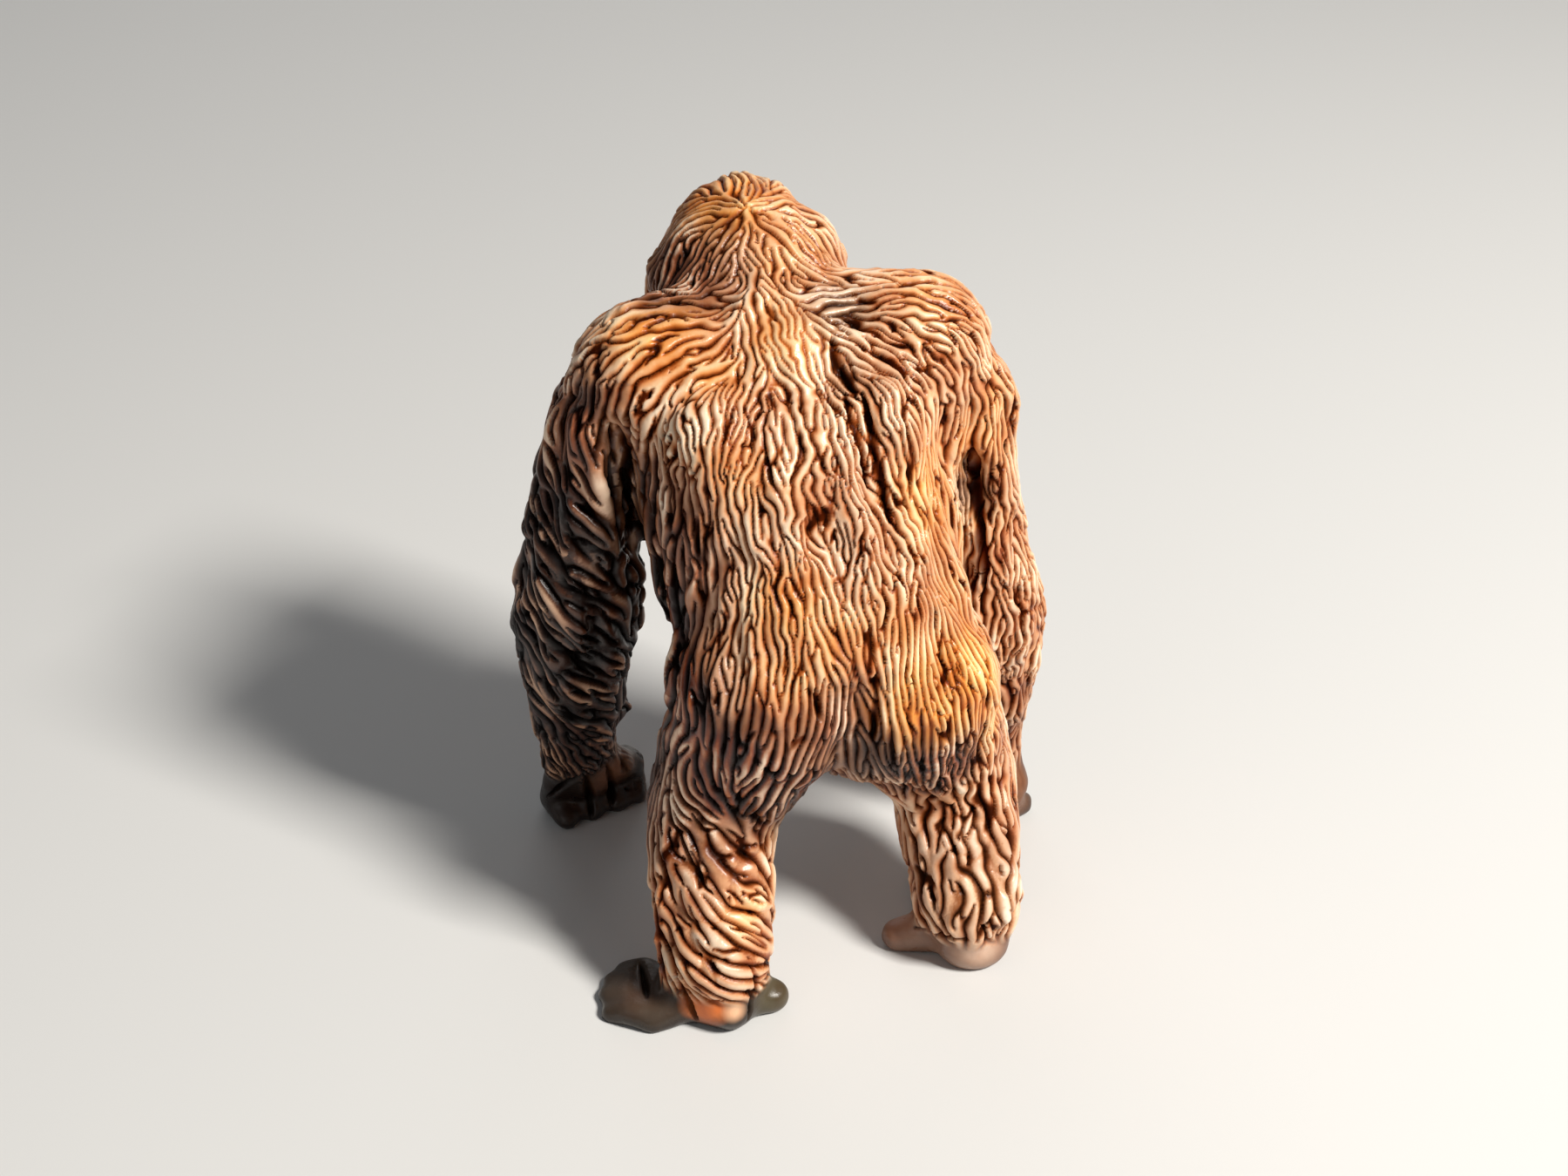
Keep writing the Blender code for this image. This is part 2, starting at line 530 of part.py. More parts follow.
def scatter(co, normals, coat, tree, free, scale, rng):
    """Picks root points in random order, each clear of the others along and across the coat."""
    taken = ~free
    roots = []
    for index in rng.permutation(len(co)):
        if taken[index]:
            continue
        roots.append(index)
        lie = coat.way(co[index : index + 1], normals[index : index + 1])[0]
        reach = LOCK_LENGTH * 0.42 * scale[index]
        gap = LOCK_WIDTH * 0.68 * scale[index]
        close = np.array([hit[1] for hit in tree.find_range(co[index], reach)])
        off = co[close] - co[index]
        along = off @ lie
        across = (off**2).sum(1) - along**2
        taken[close[(along / reach) ** 2 + across / gap**2 < 1]] = True
    return np.array(roots)


def lock_relief(co, normals, tree, paths, facings, widths):
    """How high each point of the skin stands in the coat, from 0 in a parting to 1 on top of a lock."""
    relief = np.zeros(len(co))
    for path, facing, width in zip(paths, facings, widths):
        steps = len(path) - 1
        close = set()
        for place in path[::2]:
            close.update(hit[1] for hit in tree.find_range(place, width * 0.6 + 0.4))
        close = np.array(sorted(close))
        if not len(close):
            continue
        starts, spans = path[:-1], path[1:] - path[:-1]
        off = co[close][:, None] - starts[None]
        share = np.clip((off * spans).sum(2) / np.maximum((spans**2).sum(1), 1e-9), 0, 1)
        gaps = np.linalg.norm(off - share[..., None] * spans, axis=2)
        nearest = gaps.argmin(1)
        row = np.arange(len(close))
        along = (nearest + share[row, nearest]) / steps
        half = width / 2 * np.minimum(0.45 + along * 1.6, np.minimum(1, 0.12 + (1 - along) * 2.6))
        edge = np.clip(gaps[row, nearest] / half, 0, 1)
        lift = (0.42 + 0.58 * np.clip(along / 0.8, 0, 1)) * np.clip((1.04 - along) / 0.12, 0, 1) ** 0.5
        same = (normals[close] * facing[nearest]).sum(1) > 0.3
        relief[close] = np.maximum(relief[close], (1 - edge**2) ** 0.6 * lift * same)
    return relief


def carve_coat(mesh, at):
    """Raises the locks and sinks the partings between them."""
    co, normals = coordinates(mesh), normals_of(mesh)
    rng = np.random.default_rng(LOCK_SEED)
    coat = Coat(mesh)
    tree = kd_tree(co)
    fur = 1 - bare_skin(co, at)
    arm = near(co, at["left_elbow"] + point(0, 0, 8), UPPER_ARM_RADIUS * 2.6, 5)
    limbs = np.maximum(arm, near(co, at["left_ankle"], ANKLE_RADIUS * 2, 4))
    head = near(co, at["skull"], SKULL_RADIUS * 1.1, 2)
    scale = 1 + 0.22 * limbs - 0.12 * head
    roots = scatter(co, normals, coat, tree, fur > 0.5, scale, rng)
    count = len(roots)
    lengths = LOCK_LENGTH * scale[roots] * rng.uniform(0.85, 1.25, count)
    widths = LOCK_WIDTH * scale[roots] * rng.uniform(0.9, 1.25, count)
    paths, facings = coat.grow(co[roots], normals[roots], lengths, 8, rng.normal(0, 0.22, count))
    relief = lock_relief(co, normals, tree, paths, facings, widths)
    depth = LOCK_DEPTH * (0.85 + 0.4 * limbs) * fur
    return co + normals * ((np.maximum(relief, 0.2) - 0.6) * depth)[:, None]


def thin_out(obj, co, at):
    """Keeps the triangles where they show most: the face, the hands and the feet."""
    group = obj.vertex_groups.new(name="plain")
    features = near(co, on_head(at, 0, 8.0, -3.4), 5.4, 1.0)
    plain = np.round(1 - 0.9 * bare_skin(co, at) - 0.05 * features, 2)
    for level in np.unique(plain):
        group.add(np.flatnonzero(plain == level).tolist(), float(level), "REPLACE")
    triangles = sum(len(face.vertices) - 2 for face in obj.data.polygons)
    decimate = obj.modifiers.new("thin", "DECIMATE")
    decimate.ratio = SKIN_TRIANGLES / triangles
    decimate.vertex_group = "plain"
    decimate.vertex_group_factor = 1.0
    decimate.use_collapse_triangulate = True
    bake(obj)
    obj.vertex_groups.clear()


def plane_soles(mesh):
    """Cuts the feet and knuckles off flat on the ground."""
    bm = bmesh.new()
    bm.from_mesh(mesh)
    geometry = bm.verts[:] + bm.edges[:] + bm.faces[:]
    down = (0, 0, -1)
    bmesh.ops.bisect_plane(bm, geom=geometry, dist=1e-4, plane_co=(0, 0, 0), plane_no=down, clear_outer=True)
    rim = [vert for vert in bm.verts if vert.is_boundary]
    for vert in rim:
        vert.co.z = 0
    bmesh.ops.remove_doubles(bm, verts=rim, dist=0.12)
    rims = [edge for edge in bm.edges if edge.is_boundary]
    bmesh.ops.triangle_fill(bm, use_beauty=True, edges=rims, normal=down)
    bmesh.ops.triangulate(bm, faces=bm.faces[:])
    bmesh.ops.recalc_face_normals(bm, faces=bm.faces[:])
    bm.to_mesh(mesh)
    bm.free()


def plastic():
    material = bpy.data.materials.new("fur_plastic")
    material.use_nodes = True
    shader = material.node_tree.nodes["Principled BSDF"]
    shader.inputs["Base Color"].default_value = (0.21, 0.075, 0.03, 1)
    shader.inputs["Roughness"].default_value = 0.42
    shader.inputs["Metallic"].default_value = 0.0
    material.diffuse_color = (0.21, 0.075, 0.03, 1)
    return material


def main():
    for old in list(bpy.data.objects):
        bpy.data.objects.remove(old)
    at = landmarks()
    obj = bpy.data.objects.new(NAME, blockout(at))
    bpy.context.scene.collection.objects.link(obj)
    fuse(obj, BLOCKOUT_VOXEL)
    co = coordinates(obj.data)
    pairs = edge_pairs(obj.data)
    co = relax(co, pairs, 3, 0.5)
    co = relax(co, pairs, MELT_ROUNDS, 0.5 * (1 - bare_skin(co, at))[:, None])
    set_coordinates(obj.data, co)
    co = press_face(press_folds(obj.data, at), at)
    set_coordinates(obj.data, relax(co, pairs, 1, 0.5))
    co = carve_coat(obj.data, at)
    set_coordinates(obj.data, co)
    thin_out(obj, co, at)
    plane_soles(obj.data)
    co = coordinates(obj.data)
    low, high = co.min(0), co.max(0)
    co -= point((low[0] + high[0]) / 2, (low[1] + high[1]) / 2, 0)
    set_coordinates(obj.data, co * MM)
    obj.data.shade_smooth()
    obj.data.materials.append(plastic())


main()
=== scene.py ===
"""The orangutan figurine as a painted toy: the CAD solid with its coat cut as fine strands.

It shares one frame with the CAD: the animal faces +Y, stands on z = 0, and the camera looks at its back.
The coat is sculpted in millimetres on a fine copy of the CAD solid, large locks first and then strands
side by side. Each point is painted by how high it stands on its strand.
"""

import math

import bmesh
import bpy
import numpy as np
from mathutils import Matrix, Vector
from mathutils.bvhtree import BVHTree
from mathutils.kdtree import KDTree


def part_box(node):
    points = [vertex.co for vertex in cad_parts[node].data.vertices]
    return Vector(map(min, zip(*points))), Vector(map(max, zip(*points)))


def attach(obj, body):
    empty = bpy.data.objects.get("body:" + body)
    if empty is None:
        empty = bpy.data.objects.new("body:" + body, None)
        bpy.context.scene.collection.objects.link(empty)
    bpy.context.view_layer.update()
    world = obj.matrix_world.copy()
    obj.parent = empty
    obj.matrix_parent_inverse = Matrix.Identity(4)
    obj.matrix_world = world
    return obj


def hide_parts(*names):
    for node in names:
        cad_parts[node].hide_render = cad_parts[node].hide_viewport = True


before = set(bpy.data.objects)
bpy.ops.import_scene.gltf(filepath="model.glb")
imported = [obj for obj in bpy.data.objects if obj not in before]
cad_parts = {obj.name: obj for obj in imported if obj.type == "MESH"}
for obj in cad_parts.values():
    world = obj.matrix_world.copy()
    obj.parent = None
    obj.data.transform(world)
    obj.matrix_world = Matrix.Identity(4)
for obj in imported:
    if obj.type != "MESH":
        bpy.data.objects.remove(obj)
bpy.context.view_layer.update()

MM = 0.001
SEED = 11
# The range of random phases, in radians.
FULL_TURN = 6.28
# More than any distance that is compared with it.
FAR = 9.0

# Strokes, landmarks and spots are in millimetres, in a frame where the CAD origin lies at STROKE_ORIGIN.
STROKE_ORIGIN = (1.608, 3.539, 0.0)
# What lies lower than this is sole, and stays flat on the ground.
SOLE_HEIGHT = 0.06

# The grain of the two meshes, the reach over which facets melt, and the most triangles in a piece.
COARSE_VOXEL = 0.3
FINE_VOXEL = 0.156
MELT_REACH = 0.62
PIECE_LIMIT = 190000

# The samples of the comb strokes, and how many points are combed at once.
COMB_STEP = 1.5
COMB_BATCH = 20000

# The large locks, and how clear a root and a path stay of the locks before them, in widths.
LOCK_LENGTH = 9.0
LOCK_WIDTH = 2.6
LOCK_DEPTH = 0.9
LOCK_ROOTS = 2500
LOCK_STEPS = 13
LOCK_SHORTEST = 5
ROOT_ROOM = 0.8
PATH_ROOM = 0.56

# The strands, the wide gaps between some of them as a share of a strand's depth, and the partings.
STRAND_WIDTH = 0.72
STRAND_DEPTH = 0.5
STRAND_ROUNDS = 100
GAP_WIDTH = 1.9
GAP_DEPTH = 0.35
GAP_ROUNDS = 45
GROOVE_DEPTH = 0.55
# The share of its depth at which a lock or strand stands level with the plain skin.
LEVEL = 0.6

# The landmarks of the head and the limbs.
SKULL = (-0.5, 14.65, 51.9)
HEAD_TURN = 6.0
EYE_SPACING = 4.2
LEFT_WRIST = (-16.6, 12.9, 7.6)
RIGHT_WRIST = (20.1, 9.6, 7.6)
LEFT_FOOT = (-7.3, -12.5, 0.0)
RIGHT_FOOT = (14.6, -8.5, 0.0)

# Which way the coat lies: strokes from root to tip.
COMB = (
    ((0.2, 5, 53), (0.8, 0.5, 49.5), (1.5, -5, 45), (2.2, -8.5, 40)),
    ((2.2, -8.5, 40), (3.3, -10, 34), (4.5, -13, 28), (4.8, -14, 23)),
    ((-2, 5.5, 52.5), (-8, 5, 55), (-13, 5, 53), (-17, 6.5, 46)),
    ((-4, 1.5, 51), (-8, -0.5, 49.5), (-10.5, -2.5, 46), (-11.5, -3.5, 40)),
    ((-2, 0, 50.8), (-3.2, -4, 47), (-3.6, -7, 42), (-3, -9, 36)),
    ((-5, 0, 50.5), (-6.5, -3.5, 47), (-7, -5, 43), (-7, -6.5, 37), (-6.7, -7, 33)),
    ((-8, -5, 44), (-9, -6, 38), (-9, -6, 32), (-7, -8, 27)),
    ((3, 5.5, 52.5), (9, 5, 56), (15, 5, 53), (18.5, 6, 46)),
    ((6.5, 1.5, 51), (10, -1, 49.5), (12.5, -3, 45), (13.5, -4.5, 40)),
    ((4.3, 0, 51), (5.8, -2.6, 49), (6.6, -5.5, 45), (7.6, -7.3, 41)),
    ((7.6, -7.3, 41), (8.2, -8.5, 36), (8.6, -11, 31)),
    ((7, -0.5, 50), (9, -3, 47), (10.3, -5.5, 42), (11, -6.5, 37)),
    ((11, -6, 44), (12, -6.5, 38), (12.5, -6.5, 32), (13, -7, 27)),
    ((-7, -8, 27), (-9.5, -6, 22), (-10, -6.5, 16), (-10, -9, 10), (-9.5, -11, 5)),
    ((1, -13.5, 29), (0, -14, 24), (-1.5, -12.5, 19), (-2.5, -10, 16)),
    ((-9, -9.5, 18), (-6, -11.5, 14.5), (-2.5, -10.5, 12)),
    ((-9, -10.5, 13.5), (-6, -13.5, 10), (-2.5, -13, 8)),
    ((-9.5, -11.5, 9), (-6.5, -14, 6.5), (-3, -13.5, 5)),
    ((-1.5, -8, 16), (-1.2, -9.5, 11), (-1.5, -10.5, 6)),
    ((-6, -1, 18), (-6, -3, 13), (-6, -7, 8)),
    ((13, -7, 30), (14.5, -8, 25), (15.5, -7.5, 20), (16, -7, 15)),
    ((16, -5, 28), (16.8, -5.5, 23), (18, -4, 17), (18.5, -6, 10), (18, -8, 5)),
    ((9, -13, 29), (10, -13.5, 24), (11, -11.5, 19), (12, -9.5, 16)),
    ((13, -10, 14), (14, -11, 9), (14, -12, 5)),
    ((9, -5, 17), (9.5, -7, 12), (10, -9, 7)),
    ((14, 1, 18), (15, 0, 13), (15, -3, 8)),
    ((0, 12, 44), (1, 13.5, 38), (2, 12, 32), (3, 8, 25), (3.2, 4, 19.5), (3.5, -2, 17.5)),
    ((-7, 10, 44), (-8, 9, 36), (-8, 7, 29), (-5, 3, 22)),
    ((9, 10, 44), (11, 9, 36), (11.5, 7, 29), (11, 2, 22)),
    ((-17, 6, 48), (-19, 6, 41), (-21, 7, 34), (-22, 8, 27), (-21.5, 9, 20), (-19.5, 11, 12)),
    ((-20.5, 4.5, 44), (-18, 2, 40), (-14.5, 2, 36.5)),
    ((-21.8, 5.5, 39), (-18.5, 2.5, 34.5), (-14.5, 3, 31)),
    ((-22.3, 6, 33), (-19, 3, 28.5), (-14.5, 4.5, 25)),
    ((-22.5, 7, 27), (-19.5, 4, 22.5), (-15, 6.5, 18.5)),
    ((-21.8, 8.5, 20), (-18.5, 6.5, 15.5), (-15, 9.5, 11.5)),
    ((-16, 13, 44), (-17.5, 12.5, 36), (-18, 13, 27), (-17.5, 14.5, 18), (-16, 15.5, 11)),
    ((-12.5, 7, 38), (-13.5, 7.5, 30), (-14, 9, 22), (-13.5, 11, 13)),
    ((19.5, 6, 48), (20.5, 5, 41), (22.5, 6, 34), (24, 7, 27), (24, 7.5, 20), (22.5, 8.5, 12)),
    ((18, 1.5, 45), (18, 1.5, 39), (18.5, 1.5, 33), (19.5, 2, 27), (20, 4, 19), (19.5, 6, 11)),
    ((17, 13, 44), (19, 11.5, 36), (20, 12, 27), (20, 12.5, 18), (19.5, 12.5, 11)),
    ((14.5, 6, 38), (15.5, 6.5, 30), (16, 7.5, 22), (16.5, 9, 13)),
    ((-0.8, 11.5, 60.5), (-0.8, 17, 60.5), (-0.8, 21, 58)),
    ((-0.8, 11.5, 60.5), (-5, 13, 59.5), (-7.8, 14, 55), (-8.4, 14.5, 50)),
    ((-0.8, 11.5, 60.5), (4, 13, 60), (6.6, 14, 55), (7.4, 14.5, 50)),
    ((-0.8, 11.5, 60.5), (-4, 9, 58), (-6, 8, 53.5), (-7, 8, 50)),
    ((-0.8, 11.5, 60.5), (-0.4, 7.5, 58), (0, 5.5, 54), (0.2, 3.5, 51)),
    ((-0.8, 11.5, 60.5), (3, 9, 58), (5, 8, 53.5), (6.5, 7.5, 51)),
    ((-7.6, 19.5, 52), (-6.8, 20.5, 46), (-4, 21, 42)),
    ((6.4, 19.5, 52), (5.6, 20.5, 46), (3, 21, 42)),
    ((-1, 22, 45), (-1, 21, 42), (-0.6, 17, 40), (0, 14.5, 37)),
)

# Long partings and creases: a line and the half width of the cut.
GROOVES = (
    (((4.3, 1.3, 53.0), (4.5, -0.3, 51.2), (5.6, -2.6, 49.6)), 0.55),
    (((6.0, -2.3, 50.0), (6.5, -5.1, 46.4), (7.0, -6.0, 43.5), (7.6, -7.3, 41.2)), 0.5),
    (((4.6, -1.9, 49.9), (5.3, -4.5, 47.6), (5.9, -5.9, 43.9)), 0.4),
    (((-0.1, 4.5, 55.4), (0.1, 1.8, 54.0)), 0.4),
    (((1.0, -7.8, 43.2), (1.2, -8.7, 39.9)), 0.35),
    (((-7.0, -4.5, 45.6), (-7.0, -6.0, 38.9), (-6.7, -6.7, 34.7)), 0.4),
    (((-1.7, -5.2, 47.1), (-1.5, -6.9, 45.1)), 0.35),
    (((5.5, -10.6, 34.1), (5.6, -12.6, 30.2), (5.5, -12.7, 24.5)), 0.5),
    (((1.0, -12.9, 31.0), (1.7, -13.1, 25.4)), 0.4),
    (((-11.2, 0.4, 48.4), (-11.4, 2.9, 41.8), (-11.3, 5.4, 34.7)), 0.6),
    (((15.4, 2.5, 43.8), (16.4, 3.5, 39.2), (16.7, 2.4, 35.0), (17.3, 1.7, 28.7)), 0.7),
    (((-15.8, 9.9, 7.0), (-15.5, 12.3, 2.7), (-15.5, 11.7, 0.6)), 0.5),
    (((-13.8, 11.4, 6.7), (-13.4, 13.7, 2.4), (-13.6, 12.8, 0.6)), 0.5),
    (((-12.5, 12.7, 6.7), (-12.1, 12.4, 5.2), (-12.0, 14.5, 1.2)), 0.4),
    (((-19.3, 12.6, 2.8), (-17.6, 10.9, 5.5), (-15.5, 9.4, 8.1)), 0.4),
    (((-12.8, -9.4, 1.9), (-12.6, -11.9, 1.9), (-12.7, -15.3, 1.3)), 0.4),
    (((-10.4, -14.7, 5.1), (-9.5, -15.4, 2.8), (-8.8, -15.8, 0.8)), 0.4),
    (((-4.4, -16.2, 6.7), (-4.0, -16.0, 4.5), (-4.7, -16.5, 1.2)), 0.4),
    (((10.3, -9.0, 2.6), (11.9, -12.0, 4.1), (14.6, -13.1, 4.3)), 0.3),
)

# Spots: a place, a radius, the width of the soft edge and the strength. The first two tables are for the
# locks, where they stand out and where they are narrower, and the others are regions of the strands.
LOCKS_ELSEWHERE = 0.35
LOCKS_AT = (
    ((-18, 5, 30), 13, 6, 0.75),
    ((22, 6, 28), 12, 5, 0.6),
    ((-7, -12, 9), 6, 4, 0.7),
    ((14, -9, 9), 6, 4, 0.7),
    ((-12, 5, 50), 6, 4, 0.5),
    ((14, 5, 50), 6, 4, 0.5),
)
NARROW_LOCKS_AT = (
    ((-7, -12, 9), 6, 4, 0.3),
    ((14, -9, 9), 6, 4, 0.3),
)
HEAD_AT = ((SKULL, 8.5, 2, 1.0),)
NAPE_AT = (((1.0, 1.5, 52.5), 1.5, 3.5, 1.0),)
LEFT_SHOULDER_AT = (((-10, 3, 52.5), 3, 4, 1.0),)
LEFT_ARM_AT = (((-17.5, 6, 30), 14, 5, 1.0),)
RUMP_AT = (
    ((6, -10, 27), 8, 6, 1.0),
    ((-6, -9, 24), 7, 5, 1.0),
)
LEFT_THIGH_AT = (((-6, -9, 22), 7, 5, 1.0),)
CALVES_AT = (
    ((-7, -12, 9), 6, 3, 1.0),
    ((14, -9, 9), 6, 3, 1.0),
)
TUFTS_AT = (((14, -9, 9), 7, 3, 1.0),)

# The paints of the coat: the red, green and blue of each at rising heights on a strand, from the dark wash
# in the partings to the dry-brushed crests. The lightest colours at the top are partly painted highlights.
HEIGHTS = (0.0, 0.16, 0.34, 0.58, 1.0)
BROWN = (
    (0.003, 0.001, 0.0004),
    (0.08, 0.012, 0.001),
    (0.38, 0.095, 0.020),
    (0.83, 0.43, 0.21),
    (1.0, 0.83, 0.62),
)
ORANGE = (
    (0.004, 0.001, 0.0004),
    (0.09, 0.014, 0.001),
    (0.46, 0.105, 0.008),
    (0.90, 0.35, 0.06),
    (1.0, 0.72, 0.32),
)
# Umber: a dark reddish brown that is partly painted shade, with thin painted highlights at the very top.
UMBER_AND_SHADE = (
    (0.003, 0.001, 0.0004),
    (0.042, 0.006, 0.001),
    (0.21, 0.038, 0.005),
    (0.48, 0.15, 0.045),
    (1.0, 0.80, 0.61),
)
# Soot: near-black, mostly painted shade, with thin painted highlights at the very top.
SOOT_AND_SHADE = (
    (0.002, 0.001, 0.0005),
    (0.008, 0.002, 0.0005),
    (0.034, 0.009, 0.002),
    (0.10, 0.033, 0.012),
    (0.72, 0.44, 0.28),
)
TAN = (
    (0.008, 0.003, 0.001),
    (0.07, 0.017, 0.004),
    (0.36, 0.13, 0.045),
    (0.78, 0.48, 0.29),
    (1.0, 0.86, 0.70),
)

# Where each paint lies, as spots. Brown lies everywhere else.
ORANGE_AT = (
    ((-8.3, 2.8, 53.1), 1.5, 4.0, 0.95),
    ((-4.7, 0.8, 51.0), 0.8, 3.5, 0.7),
    ((-0.7, -10.4, 36.6), 1.2, 3.5, 0.8),
    ((2.7, -11.7, 34.0), 1.2, 4.0, 0.6),
    ((7.5, -10.5, 34.0), 1.0, 5.0, 0.45),
    ((10.5, -12.3, 27.6), 3.2, 4.0, 1.0),
    ((13.6, -10.2, 28.7), 3.0, 4.0, 1.0),
    ((14.5, -8.0, 23.5), 2.0, 4.0, 0.8),
    ((12.2, -5.0, 42.0), 2.2, 4.5, 0.8),
    ((12.5, -6.5, 34.0), 1.5, 4.0, 0.6),
    ((-4.0, -5.0, 46.0), 0.8, 3.0, 0.6),
    ((-0.6, -12.5, 31.7), 1.2, 3.0, 0.6),
    ((-2.2, 14.2, 59.5), 2.4, 4.5, 0.9),
    ((3.0, 9.0, 57.5), 1.2, 4.0, 0.6),
    ((0.5, 1.5, 52.5), 1.5, 3.0, 0.6),
    ((13.1, 4.2, 54.3), 1.5, 4.5, 0.5),
    ((16.5, 1.8, 43.3), 1.5, 5.0, 0.55),
    ((14.7, -0.4, 35.2), 1.5, 5.0, 0.5),
    ((-4.2, -14.2, 10.2), 0.6, 2.4, 0.8),
)
# Umber is partly darker brown paint and partly painted shade: on the animal's left side and left arm,
# which face away from the key lamp, and under the rump.
UMBER_AND_SHADE_AT = (
    ((-10.5, -1.0, 41.0), 2.0, 4.5, 0.9),
    ((-9.0, -4.0, 38.0), 3.0, 5.0, 0.85),
    ((-10.0, -3.0, 33.0), 3.0, 5.0, 1.0),
    ((-9.0, -7.0, 26.0), 5.0, 4.5, 1.0),
    ((-5.0, -11.0, 22.5), 4.5, 4.5, 1.0),
    ((-9.5, -6.0, 17.0), 4.0, 4.0, 0.8),
    ((-17.0, 5.0, 42.0), 4.5, 5.0, 0.9),
    ((-18.0, 9.0, 22.0), 15.0, 8.0, 0.85),
    ((-6.4, 10.0, 54.4), 3.0, 4.5, 0.9),
    ((5.2, -0.5, 50.0), 0.5, 2.2, 0.6),
    ((3.2, -13.4, 26.5), 2.2, 3.4, 0.8),
    ((10.1, -10.9, 20.3), 3.2, 3.6, 1.0),
    ((-1.5, -12.0, 20.5), 3.0, 3.5, 1.0),
    ((-15.5, 4.0, 46.5), 2.5, 4.5, 0.85),
    ((20.0, 9.0, 14.0), 3.0, 5.0, 0.7),
)
# Soot is a grey-black smudge on the nape, and painted shade elsewhere: on the left arm and hand, in the
# gaps beside both arms, in the cleft and under the rump.
SOOT_AND_SHADE_AT = (
    ((5.3, 3.7, 53.9), 0.8, 2.8, 0.8),
    ((5.4, -12.7, 22.5), 2.0, 3.4, 0.8),
    ((-1.5, -11.6, 19.0), 1.2, 2.8, 0.6),
    ((9.5, -10.8, 19.0), 1.4, 2.8, 0.3),
    ((-17.5, 3.5, 34.0), 4.5, 8.0, 0.95),
    ((-17.9, 5.5, 20.0), 8.5, 9.0, 1.0),
    ((15.8, 2.0, 38.0), 1.0, 2.5, 0.8),
    ((-16.5, 11.0, 9.0), 7.0, 4.0, 1.0),
    ((-12.0, 6.0, 40.0), 3.5, 4.0, 0.8),
    ((0.0, -2.0, 17.0), 6.0, 4.0, 0.9),
)
TAN_AT = (
    ((14.1, -10.3, 9.0), 4.0, 4.0, 0.9),
    ((-6.2, -13.0, 12.1), 2.5, 5.0, 0.5),
    ((-8.8, -10.6, 24.0), 2.5, 7.0, 0.35),
    ((5.0, 9.5, 57.5), 2.5, 4.0, 0.5),
)

# The paints of the bare skin. The pale one is on the right foot.
FACE_SKIN = (0.060, 0.036, 0.028)
HAND_SKIN = (0.040, 0.024, 0.017)
FOOT_SKIN = (0.062, 0.044, 0.031)
PALE_SKIN = (0.44, 0.26, 0.18)
EYE_PAINT = (0.006, 0.004, 0.004)

# Worn or lighter spots on the bare skin, two of them painted highlights on the feet: colour, place, radius
# and soft edge.
WORN_AND_HIGHLIGHTS = (
    ((0.88, 0.26, 0.065), (-8.2, -16.0, 3.0), 1.3, 1.2),
    ((0.92, 0.55, 0.33), (-5.9, -16.8, 2.6), 0.3, 0.9),
    ((0.10, 0.085, 0.050), (-1.9, -14.6, 2.0), 1.4, 1.6),
    ((0.22, 0.095, 0.045), (-13.4, 12.6, 5.6), 1.2, 2.4),
    ((0.26, 0.115, 0.055), (20.7, 6.5, 4.0), 2.0, 3.5),
    # A painted highlight: cream on the right heel.
    ((0.72, 0.50, 0.37), (14.9, -13.2, 2.6), 0.8, 2.2),
    # A painted highlight: lighter brown on top of the left foot's outer lobe.
    ((0.095, 0.060, 0.042), (-13.5, -12.5, 2.2), 0.5, 2.6),
)

# The light paint that the dry brush leaves on the crests, laid in broken streaks that are partly painted
# highlights, and the tint of the darker patches.
DRY_BRUSH_AND_HIGHLIGHT = (0.86, 0.60, 0.42)
PATCH_TINT = (0.62, 0.40, 0.28)
# How fine the noises of the material are, per metre.
PATCH_SCALE = 220
SHEEN_SCALE = 500
STREAK_SCALE = 900
GRAIN_SCALE = 3200
GRAIN_HEIGHT = 0.00006

# The studio, in metres and watts. Each lamp has a name, a place, a size, a power and a colour.
FLOOR_SIZE = 4.0
FLOOR_COLOUR = (0.72, 0.72, 0.71, 1)
WORLD_COLOUR = (0.9, 0.92, 0.95, 1)
WORLD_STRENGTH = 0.12
LAMPS_AIM_AT = (0, 0, 0.03)
LAMPS = (
    ("key", (0.29, -0.23, 0.41), 0.11, 4.1, (1.0, 0.96, 0.90)),
    ("fill", (-0.4, -0.3, 0.3), 0.4, 0.2, (1, 1, 1)),
    ("back", (0.0, 0.5, 0.35), 0.4, 0.4, (1, 1, 1)),
)

# The photo's view: round to the animal's left and down, in degrees, from a distance in metres.
CAMERA_TURN = -8.0
CAMERA_TILT = 34.0
CAMERA_DISTANCE = 0.175
CAMERA_TARGET = (0, 0, 28)
IMAGE_WIDTH = 1800
SHIFT_PIXELS = (7, 45)


def point(*xyz):
    return np.array(xyz, float)


def unit(vector):
    return vector / np.maximum(np.linalg.norm(vector, axis=-1, keepdims=True), 1e-9)


def evaluated(obj):
    """A plain mesh of obj with its modifiers applied."""
    bpy.context.view_layer.update()
    graph = bpy.context.evaluated_depsgraph_get()
    return bpy.data.meshes.new_from_object(obj.evaluated_get(graph))


def coordinates(mesh):
    co = np.empty(len(mesh.vertices) * 3, np.float32)
    mesh.vertices.foreach_get("co", co)
    return co.reshape(-1, 3).astype(float)


def set_coordinates(mesh, co):
    mesh.vertices.foreach_set("co", co.astype(np.float32).ravel())
    mesh.update()


def normals_of(mesh):
    out = np.empty(len(mesh.vertices) * 3, np.float32)
    mesh.vertex_normals.foreach_get("vector", out)
    return out.reshape(-1, 3).astype(float)


def edge_pairs(mesh):
    pairs = np.empty(len(mesh.edges) * 2, np.int32)
    mesh.edges.foreach_get("vertices", pairs)
    return pairs.reshape(-1, 2)


